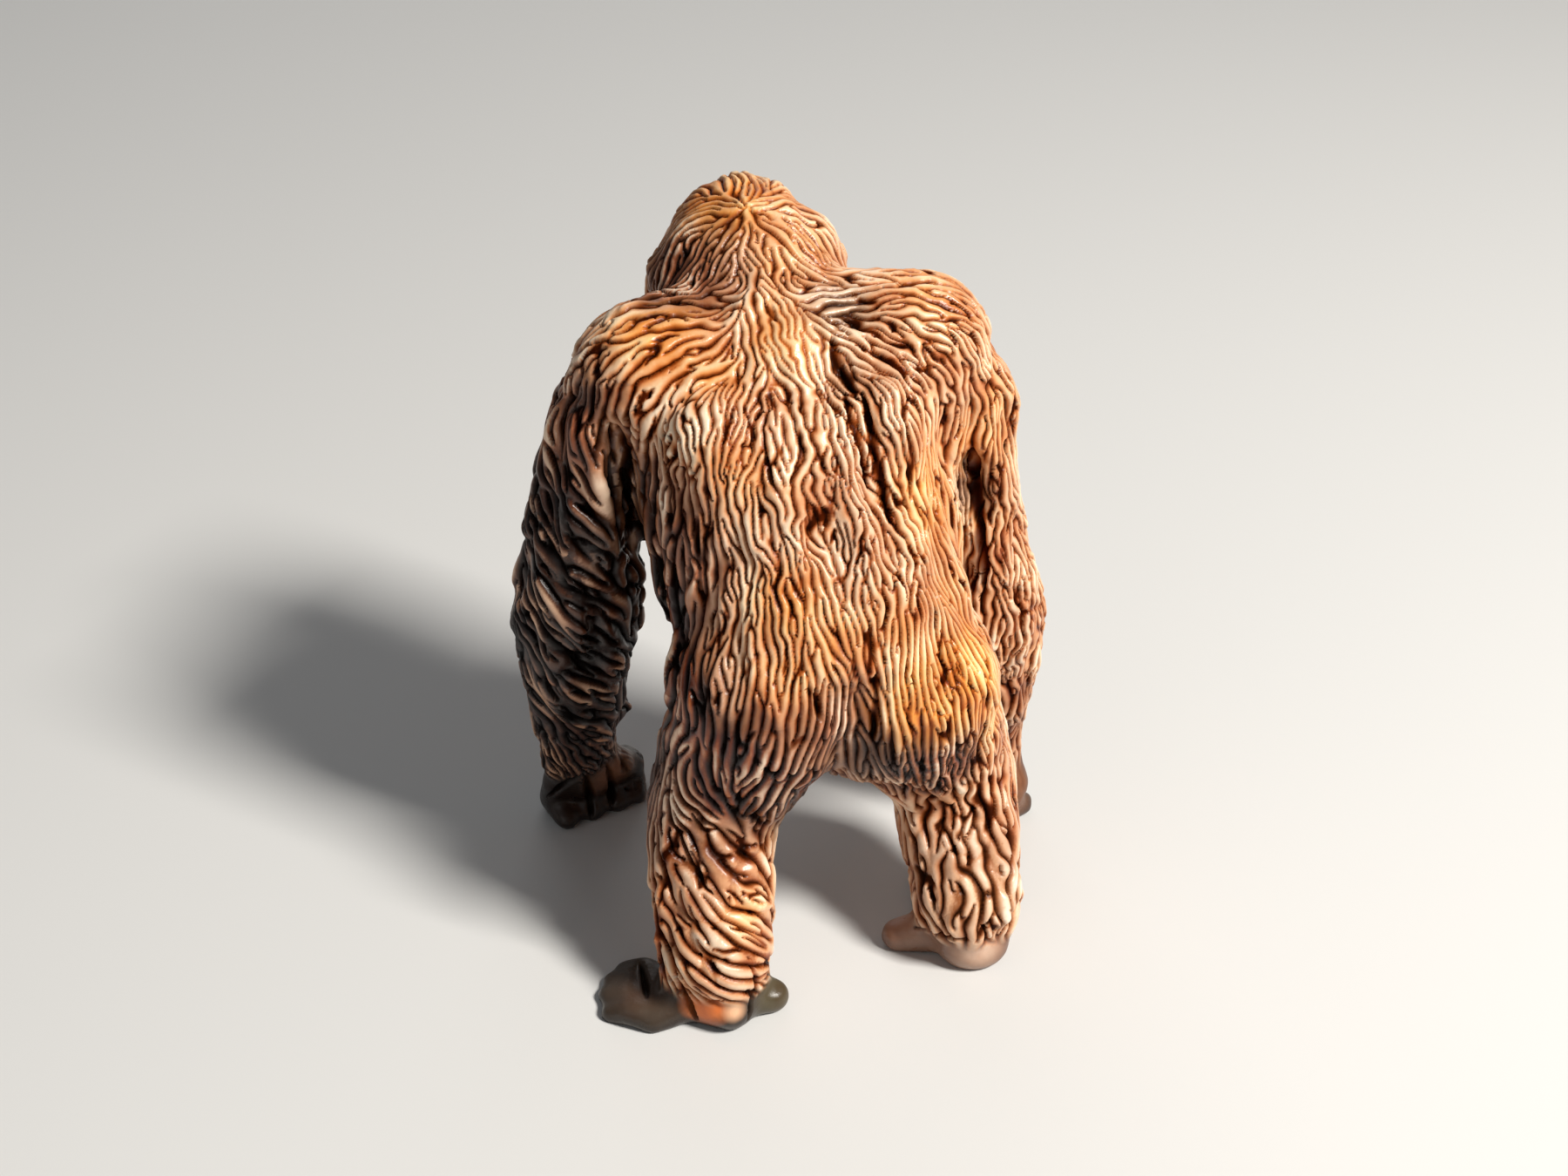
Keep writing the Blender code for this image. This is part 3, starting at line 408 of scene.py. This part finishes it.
def relax(values, pairs, rounds, strength=0.5):
    """Moves each row towards the mean of its neighbours."""
    count = np.bincount(pairs.ravel(), minlength=len(values))[:, None]
    for _ in range(rounds):
        total = np.zeros_like(values)
        for axis in range(values.shape[1]):
            total[:, axis] = np.bincount(pairs[:, 0], values[pairs[:, 1], axis], len(values))
            total[:, axis] += np.bincount(pairs[:, 1], values[pairs[:, 0], axis], len(values))
        values = values + (total / count - values) * strength
    return values


def near(co, centre, radius, soft):
    """1 within radius of centre, falling to 0 over soft."""
    return np.clip((radius + soft - np.linalg.norm(co - centre, axis=1)) / soft, 0, 1)


def covered(co, spots):
    """How strongly the spots cover each point."""
    cover = np.zeros(len(co))
    for place, radius, soft, strength in spots:
        cover = np.maximum(cover, near(co, point(*place), radius, soft) * strength)
    return cover


def on_head(x, y, z):
    """A place on the head: x to its right, y towards the face, z up, from the middle of the skull."""
    turn = math.radians(HEAD_TURN)
    right = point(math.cos(turn), math.sin(turn), 0)
    ahead = point(-math.sin(turn), math.cos(turn), 0)
    return point(*SKULL) + right * x + ahead * y + point(0, 0, z)


def bare_skin(co):
    """1 where the skin is bare, 0 where the coat is full: the face, the hands and the feet."""
    bare = near(co, on_head(0, 9.5, -4.2), 6.6, 1.6)
    for wrist in (LEFT_WRIST, RIGHT_WRIST):
        bare = np.maximum(bare, near(co, point(*wrist) + point(0.6, 1.6, -5.4), 5.6, 1.4))
    low = np.clip((3.9 - co[:, 2]) / 1.2, 0, 1)
    for foot in (LEFT_FOOT, RIGHT_FOOT):
        bare = np.maximum(bare, low * near(co, point(*foot), 12.0, 1.0))
    return bare


class Coat:
    """The comb strokes as samples of place, direction and facing."""

    def __init__(self, mesh):
        bm = bmesh.new()
        bm.from_mesh(mesh)
        self.tree = BVHTree.FromBMesh(bm)
        bm.free()
        places, ways = [], []
        for stroke in COMB:
            knots = [point(*knot) for knot in stroke]
            for a, b in zip(knots, knots[1:]):
                pieces = max(1, round(np.linalg.norm(b - a) / COMB_STEP))
                for piece in range(pieces):
                    places.append(a + (b - a) * (piece + 0.5) / pieces)
                    ways.append(unit(b - a))
        found = [self.tree.find_nearest(place) for place in places]
        self.places = np.array([hit[0] for hit in found])
        self.facings = np.array([hit[1] for hit in found])
        self.ways = np.array(ways)

    def way(self, co, normals):
        """The direction the coat lies in at each point, along the skin: the near samples count most."""
        lie = []
        for start in range(0, len(co), COMB_BATCH):
            here, facing = co[start:start + COMB_BATCH], normals[start:start + COMB_BATCH]
            square = (here**2).sum(1)[:, None] + (self.places**2).sum(1) - 2 * here @ self.places.T
            same_side = 0.12 + np.clip(facing @ self.facings.T, 0, 1)
            weight = same_side**2 / (np.maximum(square, 0) + 0.6) ** 2
            lie.append(weight @ self.ways)
        lie = np.concatenate(lie)
        return unit(lie - normals * (lie * normals).sum(1)[:, None])

    def grow(self, roots, normals, lengths, steps, sway, phase):
        """Follows the coat from each root over the skin, with a wave in it."""
        path = [roots]
        facing = [normals]
        for step in range(steps):
            lie = self.way(path[-1], facing[-1])
            aside = np.cross(facing[-1], lie)
            lie = unit(lie + aside * (sway * np.sin(phase + step * 12 / steps))[:, None])
            ahead = path[-1] + lie * (lengths / steps)[:, None]
            found = [self.tree.find_nearest(place) for place in ahead]
            path.append(np.array([hit[0] for hit in found]))
            facing.append(np.array([hit[1] for hit in found]))
        return np.stack(path, 1), np.stack(facing, 1)


def kd_tree(co):
    tree = KDTree(len(co))
    for index, place in enumerate(co):
        tree.insert(place, index)
    tree.balance()
    return tree


def lay(co, coat, tree, roots, normals, lengths, widths, sway, rng):
    """Grows a lock from each root in turn, and keeps as much of it as lies clear of those before."""
    phase = rng.uniform(0, FULL_TURN, len(roots))
    paths, facings = coat.grow(co[roots], normals[roots], lengths, LOCK_STEPS, sway, phase)
    under = [[tree.find(place)[1] for place in path] for path in paths]
    room = np.full(len(co), FAR)
    kept = []
    for path, facing, width, skin in zip(paths, facings, widths, under):
        clear = room[skin] > PATH_ROOM
        if room[skin[0]] < ROOT_ROOM:
            continue
        run = LOCK_STEPS + 1 if clear.all() else int(clear.argmin())
        if run < LOCK_SHORTEST:
            continue
        kept.append((path[:run], facing[:run], width))
        for place in path[:run]:
            for _, index, gap in tree.find_range(place, width * 0.85):
                room[index] = min(room[index], gap / width)
    return kept


def lock_relief(co, normals, tree, locks, sizes):
    """Shares the skin out between the locks: at each point the height, and how near the crest it is."""
    first = np.full(len(co), FAR)
    second = np.full(len(co), FAR)
    lift = np.zeros(len(co))
    for (path, facing, width), size in zip(locks, sizes):
        steps = len(path) - 1
        close = set()
        reach = width * 0.95 + np.linalg.norm(path[1] - path[0])
        for place in path[::2]:
            close.update(hit[1] for hit in tree.find_range(place, reach))
        if not close:
            continue
        close = np.fromiter(close, int)
        close.sort()
        starts, spans = path[:-1], path[1:] - path[:-1]
        off = co[close][:, None] - starts[None]
        share = np.clip((off * spans).sum(2) / np.maximum((spans**2).sum(1), 1e-9), 0, 1)
        gaps = np.linalg.norm(off - share[..., None] * spans, axis=2)
        nearest = gaps.argmin(1)
        row = np.arange(len(close))
        along = (nearest + share[row, nearest]) / steps
        half = width / 2 * np.minimum(0.5 + along * 2.0, np.minimum(1, 0.2 + (1 - along) * 2.4))
        same = (normals[close] * facing[nearest]).sum(1) > 0.3
        edge = np.where(same, gaps[row, nearest] / half, FAR)
        ahead = edge < first[close]
        second[close] = np.where(ahead, first[close], np.minimum(second[close], edge))
        first[close] = np.where(ahead, edge, first[close])
        lift[close[ahead]] = (0.62 + 0.38 * np.clip(along / 0.85, 0, 1))[ahead] * (0.76 + 0.24 * size)
    edge = 2 * first / (first + second)
    held = np.clip(2.8 - first, 0, 1)
    relief = (1 - edge**2.8) ** 0.75 * lift * held
    crest = (1 - edge**1.8) * (0.4 + 0.6 * held)
    return relief, crest


def quads_of(mesh):
    quads = np.empty(len(mesh.loops), np.int32)
    mesh.loops.foreach_get("vertex_index", quads)
    return quads.reshape(-1, 4)


def neighbours(mesh, columns=10):
    """The points around each point, over edges and diagonals, filled up with the point itself."""
    quads = quads_of(mesh)
    pairs = np.concatenate([edge_pairs(mesh), quads[:, [0, 2]], quads[:, [1, 3]]])
    pairs = np.concatenate([pairs, pairs[:, ::-1]])
    pairs = pairs[np.argsort(pairs[:, 0], kind="stable")]
    rank = np.arange(len(pairs)) - np.searchsorted(pairs[:, 0], pairs[:, 0])
    table = np.tile(np.arange(len(mesh.vertices))[:, None], (1, columns))
    fits = rank < columns
    table[pairs[fits, 0], rank[fits]] = pairs[fits, 1]
    return table


def soft_noise(count, pairs, rounds, rng):
    """Smooth random values around 0 with a spread of 1."""
    values = relax(rng.normal(0, 1, (count, 1)), pairs, rounds)[:, 0]
    return values / values.std()


def grooved(co):
    """How deep the long partings and creases cut into each point, 0 to 1."""
    depth = np.zeros(len(co))
    for line, half in GROOVES:
        knots = [point(*knot) for knot in line]
        middle = sum(knots) / len(knots)
        reach = max(np.linalg.norm(knot - middle) for knot in knots) + 1
        close = np.flatnonzero(np.linalg.norm(co - middle, axis=1) < reach)
        for number, (a, b) in enumerate(zip(knots, knots[1:])):
            span = b - a
            share = np.clip((co[close] - a) @ span / (span @ span), 0, 1)
            gap = np.linalg.norm(co[close] - a - share[:, None] * span, axis=1)
            along = (number + share) / (len(knots) - 1)
            thin = half * np.sqrt(np.clip(4 * along * (1 - along), 0.08, 1))
            depth[close] = np.maximum(depth[close], np.clip(1 - (gap / thin) ** 2, 0, 1))
    return depth


def ridges(co, normals, ways, table, width, wiggle, rounds, rng):
    """Lays ridges side by side along the coat, as waves that each point tunes to its neighbours.

    The wiggle, in radians of a wave, shifts them sideways. Returns how far each point is from the crest of
    its ridge, 0 to 1, how well its neighbours agree with it, and a tone that runs along the ridges.
    """
    across = np.cross(normals, ways)
    away = co[table] - co[:, None]
    span = np.maximum(np.linalg.norm(away, axis=2), 1e-9)
    along = np.abs((away * ways[:, None]).sum(2)) / span
    pull = np.where(table == np.arange(len(co))[:, None], 0, 0.12 + along**4)
    pull /= pull.sum(1)[:, None]
    turn = (away * (across[:, None] + across[table])).sum(2) * (np.pi / width)[:, None]
    link = (pull * np.exp(-1j * turn)).astype(np.complex64)
    pull = pull.astype(np.float32)
    wave = np.exp(1j * rng.uniform(0, FULL_TURN, len(co))).astype(np.complex64)
    tone = rng.normal(0, 1, len(co)).astype(np.float32)
    for _ in range(rounds):
        wave = (link * wave[table]).sum(1)
        held = np.abs(wave)
        wave /= np.maximum(held, 1e-6)
        tone = (pull * tone[table]).sum(1)
    tone = np.argsort(np.argsort(tone)) / len(tone)
    return np.abs(np.angle(wave * np.exp(1j * wiggle))) / np.pi, held, tone


def dense(mesh, voxel):
    """The same solid as an even mesh of small squares."""
    skin = bpy.data.objects.new("dense", mesh)
    bpy.context.scene.collection.objects.link(skin)
    remesh = skin.modifiers.new("dense", "REMESH")
    remesh.mode = "VOXEL"
    remesh.voxel_size = voxel
    made = evaluated(skin)
    bpy.data.objects.remove(skin)
    return made


def move(mesh, start, co):
    """Moves the mesh from its start to new coordinates and keeps the soles flat on the ground."""
    co[start[:, 2] < SOLE_HEIGHT, 2] = 0
    set_coordinates(mesh, co)


def raise_skin(mesh, start, normals, lift):
    """Lifts each point by so many millimetres, and lets none sink into the ground."""
    co = start + normals * lift[:, None]
    co[:, 2] = np.maximum(co[:, 2], 0)
    move(mesh, start, co)


def blocked_in(rng):
    """The CAD solid in the strokes' frame, its facets melted and the large locks raised."""
    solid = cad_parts["orangutan"]
    mesh = solid.data.copy()
    turn = np.array(solid.matrix_world.to_3x3())
    place = coordinates(mesh) @ turn.T + np.array(solid.matrix_world.translation)
    set_coordinates(mesh, place / MM + point(*STROKE_ORIGIN))
    mesh = dense(mesh, COARSE_VOXEL)
    pairs = edge_pairs(mesh)
    start = coordinates(mesh)
    bare = bare_skin(start)
    co = relax(start, pairs, 2)
    co = relax(co, pairs, round(2 * (MELT_REACH / COARSE_VOXEL) ** 2), 0.5 * (1 - bare)[:, None])
    move(mesh, start, co)
    strength = np.maximum(covered(co, LOCKS_AT), LOCKS_ELSEWHERE) * (1 - bare)
    normals = normals_of(mesh)
    coat = Coat(mesh)
    tree = kd_tree(co)
    roots = rng.choice(np.flatnonzero(bare < 0.6), LOCK_ROOTS)
    lengths = LOCK_LENGTH * rng.uniform(0.6, 1.5, LOCK_ROOTS)
    widths = LOCK_WIDTH * (1 - covered(co, NARROW_LOCKS_AT)[roots]) * rng.uniform(0.7, 1.3, LOCK_ROOTS)
    sway = rng.normal(0, 0.15, LOCK_ROOTS)
    locks = lay(co, coat, tree, roots, normals, lengths, widths, sway, rng)
    relief, crest = lock_relief(co, normals, tree, locks, rng.random(len(locks)))
    raise_skin(mesh, co, normals, (relief - LEVEL) * (LOCK_DEPTH * strength))
    return mesh, 1 - strength * (1 - crest)


def combed(mesh, co, normals, pairs, rng):
    """Lays the strands and the wide gaps along the coat.

    Returns for each point how far it is from the crest of its strand, how well the strand holds there, its
    tone, how deep it lies in a gap, and how wide the strands are.
    """
    rump = covered(co, RUMP_AT)
    left_arm = covered(co, LEFT_ARM_AT)
    calves = covered(co, CALVES_AT)
    calm = np.maximum(rump, np.maximum(left_arm, calves))
    table = neighbours(mesh)
    ways = Coat(mesh).way(co, normals)
    drift = soft_noise(len(co), pairs, 45, rng) * (0.24 - 0.15 * calm + 0.26 * covered(co, TUFTS_AT))
    ways = unit(ways + np.cross(normals, ways) * drift[:, None])
    wide = 1 + 0.95 * left_arm + 0.75 * calves + 0.4 * covered(co, LEFT_THIGH_AT) - 0.1 * rump
    wide += 0.5 * covered(co, LEFT_SHOULDER_AT)
    width = STRAND_WIDTH * wide * np.exp((0.24 - 0.12 * rump) * soft_noise(len(co), pairs, 45, rng))
    wiggle = soft_noise(len(co), pairs, 22, rng) * 0.5 * (1 - 0.85 * calm)
    edge, held, tone = ridges(co, normals, ways, table, width, wiggle, STRAND_ROUNDS, rng)
    width, wiggle = GAP_WIDTH * wide, wiggle * 0.4
    gap_edge, _, gap_tone = ridges(co, normals, ways, table, width, wiggle, GAP_ROUNDS, rng)
    gap = np.clip((gap_edge - 0.70) / 0.2, 0, 1) * np.clip((gap_tone - 0.5) * 5, 0, 1)
    gap *= 1 - np.maximum(covered(co, NAPE_AT), 0.8 * covered(co, HEAD_AT))
    return edge, np.clip(held * 2.5 - 1.2, 0, 1), tone, gap, wide


def sculpt():
    """The finished skin with what the paint needs to know at each point."""
    rng = np.random.default_rng(SEED)
    blocked, lock_crest = blocked_in(rng)
    tree = kd_tree(coordinates(blocked))
    mesh = dense(blocked, FINE_VOXEL)
    pairs = edge_pairs(mesh)
    start = coordinates(mesh)
    bare = bare_skin(start)
    lock_crest = lock_crest[[tree.find(place)[1] for place in start]]
    co = relax(start, pairs, 5)
    move(mesh, start, co)
    normals = normals_of(mesh)
    edge, held, tone, gap, wide = combed(mesh, co, normals, pairs, rng)
    nape = covered(co, NAPE_AT)
    cut = grooved(co)
    relief = (1 - edge**2.6) ** 0.8 * (0.5 + 0.5 * held) * (0.6 + 0.4 * tone) * (1 - 0.6 * nape)
    crest = np.clip(1.04 * (1 - edge**1.7), 0, 1) * (0.5 + 0.5 * held) * (0.35 + 0.65 * lock_crest)
    crest = np.maximum(crest, 0.3 * nape) * (1 - 0.85 * gap) * (1 - 0.95 * cut)
    height = (relief - gap * GAP_DEPTH) * STRAND_DEPTH * wide**0.3
    lift = (height - LEVEL * STRAND_DEPTH) * (1 - bare) - cut * GROOVE_DEPTH
    raise_skin(mesh, co, normals, lift)
    return mesh, crest, tone, bare, cut


def ramp(height, colours):
    """The colour of a paint at each height."""
    return np.stack([np.interp(height, HEIGHTS, channel) for channel in zip(*colours)], 1)


def over(base, colour, cover):
    """The base with a colour laid over it, as strongly as the cover says."""
    return base + (np.asarray(colour) - base) * cover[:, None]


def painted(co, normals, crest, tone, bare, cut):
    """The colour of each point: brown coat, orange and tan fields, umber and sooty fields that are partly
    painted shade, and the bare skin.
    """
    height = np.clip(crest * (0.70 + 0.42 * tone), 0, 1)
    colour = ramp(height, BROWN)
    colour = over(colour, ramp(height, TAN), covered(co, TAN_AT))
    colour = over(colour, ramp(height, ORANGE), covered(co, ORANGE_AT))
    # Umber and soot are partly painted shade, on the left side, the left arm and under the rump; only the
    # tops of their crests are light, as thin painted highlights.
    colour = over(colour, ramp(height**2.6, UMBER_AND_SHADE), covered(co, UMBER_AND_SHADE_AT))
    colour = over(colour, ramp(height**2, SOOT_AND_SHADE), covered(co, SOOT_AND_SHADE_AT))
    skin = np.tile(FOOT_SKIN, (len(co), 1))
    skin = over(skin, FACE_SKIN, near(co, on_head(0, 8, -4), 9, 2))
    for wrist in (LEFT_WRIST, RIGHT_WRIST):
        skin = over(skin, HAND_SKIN, near(co, point(*wrist) + point(0, 1, -5), 8, 2))
    skin = over(skin, PALE_SKIN, near(co, point(14.0, -9.0, 1.5), 5.5, 3))
    # Painted light and shade: the bare skin is lighter where it faces up and darker where it faces
    # sideways or down.
    skin = skin * (0.55 + 0.75 * np.clip(normals[:, 2], 0, 1))[:, None]
    for colour_of_spot, place, radius, soft in WORN_AND_HIGHLIGHTS:
        skin = over(skin, colour_of_spot, near(co, point(*place), radius, soft))
    for sign in (-1, 1):
        skin = over(skin, EYE_PAINT, near(co, on_head(sign * EYE_SPACING / 2, 7.4, -0.3), 0.9, 0.4))
    # Painted shade: the bare skin darkens in the creases of the hands and feet.
    skin = skin * (1 - 0.8 * cut)[:, None]
    return over(colour, skin, bare)


def in_pieces(mesh, colour, crest, bare):
    """Cuts the skin in level slabs under the limit of triangles, which keep the whole skin's normals."""
    normals = normals_of(mesh)
    co = coordinates(mesh)
    low, high = (point(*corner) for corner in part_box("orangutan"))
    placed = np.clip((co - point(*STROKE_ORIGIN)) * MM, low, high)
    quads = quads_of(mesh)
    order = np.argsort(co[quads[:, 0], 2], kind="stable")
    slabs = np.array_split(order, math.ceil(len(quads) * 2 / PIECE_LIMIT))
    material = fur_material()
    for number, slab in enumerate(slabs):
        used, corners = np.unique(quads[slab], return_inverse=True)
        piece = bpy.data.meshes.new("orangutan_skin_%d" % number)
        piece.from_pydata(placed[used], [], corners.reshape(-1, 4).tolist())
        piece.shade_smooth()
        piece.normals_split_custom_set_from_vertices(normals[used].tolist())
        for name, values in (("crest", crest), ("bare", bare)):
            layer = piece.attributes.new(name, "FLOAT", "POINT")
            layer.data.foreach_set("value", values[used].astype(np.float32))
        layer = piece.attributes.new("paint", "FLOAT_COLOR", "POINT")
        opaque = np.c_[colour[used], np.ones(len(used))]
        layer.data.foreach_set("color", opaque.astype(np.float32).ravel())
        piece.materials.append(material)
        skin = bpy.data.objects.new(piece.name, piece)
        bpy.context.scene.collection.objects.link(skin)
        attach(skin, "root")
        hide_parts("orangutan")


def make_skin():
    mesh, crest, tone, bare, cut = sculpt()
    colour = painted(coordinates(mesh), normals_of(mesh), crest, tone, bare, cut)
    in_pieces(mesh, colour, crest * (1 - bare), bare * (1 - cut))


class Nodes:
    """A material's node tree with short calls to add to it."""

    def __init__(self, material):
        self.tree = material.node_tree

    def add(self, kind, **settings):
        node = self.tree.nodes.new(kind)
        for key, value in settings.items():
            setattr(node, key, value)
        return node

    def feed(self, value, socket):
        """Links another node's output to the socket, or sets the socket to a plain value."""
        if hasattr(value, "links"):
            self.tree.links.new(value, socket)
        else:
            socket.default_value = value

    def attribute(self, name, output="Fac"):
        return self.add("ShaderNodeAttribute", attribute_name=name).outputs[output]

    def noise(self, scale, detail=3.0):
        node = self.add("ShaderNodeTexNoise")
        self.feed(self.add("ShaderNodeTexCoord").outputs["Object"], node.inputs["Vector"])
        node.inputs["Scale"].default_value = scale
        node.inputs["Detail"].default_value = detail
        return node.outputs["Fac"]

    def spread(self, value, low, high, to_low, to_high):
        """Maps the range from low to high to the range from to_low to to_high."""
        node = self.add("ShaderNodeMapRange")
        for number, entry in enumerate((value, low, high, to_low, to_high)):
            self.feed(entry, node.inputs[number])
        return node.outputs[0]

    def times(self, a, b):
        node = self.add("ShaderNodeMath", operation="MULTIPLY")
        self.feed(a, node.inputs[0])
        self.feed(b, node.inputs[1])
        return node.outputs[0]

    def mix(self, share, a, b, blend="MIX"):
        node = self.add("ShaderNodeMix", data_type="RGBA", blend_type=blend)
        for value, socket in ((share, node.inputs[0]), (a, node.inputs[6]), (b, node.inputs[7])):
            self.feed((*value, 1) if isinstance(value, tuple) else value, socket)
        return node.outputs[2]


def fur_material():
    """The paint of each point, broken up as a dry brush leaves it, with streaks of painted highlight on
    the crests, on semi-gloss plastic.
    """
    material = bpy.data.materials.new("fur_plastic")
    material.use_nodes = True
    nodes = Nodes(material)
    shader = material.node_tree.nodes["Principled BSDF"]
    paint = nodes.attribute("paint", "Color")
    crest = nodes.attribute("crest")
    # Painted highlights: broken light streaks on the highest crests, laid over the dry brush.
    streaks = nodes.spread(nodes.noise(STREAK_SCALE), 0.45, 0.62, 0.0, 1.0)
    ridge = nodes.times(nodes.spread(crest, 0.8, 1.0, 0.0, 0.18), streaks)
    brushed_and_highlit = nodes.mix(ridge, paint, DRY_BRUSH_AND_HIGHLIGHT)
    patches = nodes.spread(nodes.noise(PATCH_SCALE), 0.36, 0.66, 0.0, 0.8)
    worn = nodes.mix(patches, brushed_and_highlit, PATCH_TINT, "MULTIPLY")
    nodes.feed(worn, shader.inputs["Base Color"])
    sheen = nodes.spread(nodes.noise(SHEEN_SCALE), 0.3, 0.7, 0.26, 0.42)
    nodes.feed(sheen, shader.inputs["Roughness"])
    bump = nodes.add("ShaderNodeBump")
    bump.inputs["Strength"].default_value = 0.5
    bump.inputs["Distance"].default_value = GRAIN_HEIGHT
    nodes.feed(nodes.noise(GRAIN_SCALE, 4.0), bump.inputs["Height"])
    nodes.feed(bump.outputs["Normal"], shader.inputs["Normal"])
    shine = nodes.add("ShaderNodeMath", operation="MAXIMUM")
    nodes.feed(nodes.spread(crest, 0.15, 0.7, 0.02, 0.5), shine.inputs[0])
    nodes.feed(nodes.times(nodes.attribute("bare"), 0.4), shine.inputs[1])
    nodes.feed(shine.outputs[0], shader.inputs["Specular IOR Level"])
    return material


def floor_material():
    material = bpy.data.materials.new("floor")
    material.use_nodes = True
    shader = material.node_tree.nodes["Principled BSDF"]
    shader.inputs["Base Color"].default_value = FLOOR_COLOUR
    shader.inputs["Roughness"].default_value = 0.8
    return material


def make_floor():
    bpy.ops.mesh.primitive_plane_add(size=FLOOR_SIZE, location=(0, 0, 0))
    floor = bpy.context.object
    floor.name = "floor"
    floor.data.materials.append(floor_material())


def area_lamp(name, place, size, power, colour):
    data = bpy.data.lights.new(name, "AREA")
    data.size = size
    data.energy = power
    data.color = colour
    lamp = bpy.data.objects.new(name, data)
    lamp.location = place
    aim = Vector(LAMPS_AIM_AT) - Vector(place)
    lamp.rotation_euler = aim.to_track_quat("-Z", "Y").to_euler()
    bpy.context.scene.collection.objects.link(lamp)


def make_lights():
    for lamp in LAMPS:
        area_lamp(*lamp)
    world = bpy.data.worlds.new("studio")
    world.use_nodes = True
    background = world.node_tree.nodes["Background"]
    background.inputs["Color"].default_value = WORLD_COLOUR
    background.inputs["Strength"].default_value = WORLD_STRENGTH
    bpy.context.scene.world = world


def make_camera():
    turn, tilt = math.radians(CAMERA_TURN), math.radians(CAMERA_TILT)
    right = point(math.cos(turn), math.sin(turn), 0)
    level = math.cos(tilt)
    ahead = point(-math.sin(turn) * level, math.cos(turn) * level, -math.sin(tilt))
    up = np.cross(right, ahead)
    target = (point(*CAMERA_TARGET) - point(*STROKE_ORIGIN)) * MM
    place = target - ahead * CAMERA_DISTANCE
    data = bpy.data.cameras.new("camera")
    data.sensor_width = 36
    data.lens = 50
    data.clip_start = 0.005
    data.clip_end = 20
    data.shift_x, data.shift_y = (pixels / IMAGE_WIDTH for pixels in SHIFT_PIXELS)
    camera = bpy.data.objects.new("camera", data)
    axes = Matrix([[right[i], up[i], -ahead[i], place[i]] for i in range(3)] + [[0, 0, 0, 1]])
    camera.matrix_world = axes
    bpy.context.scene.collection.objects.link(camera)
    bpy.context.scene.camera = camera


make_skin()
make_floor()
make_lights()
make_camera()
bpy.context.scene.view_settings.view_transform = "Standard"
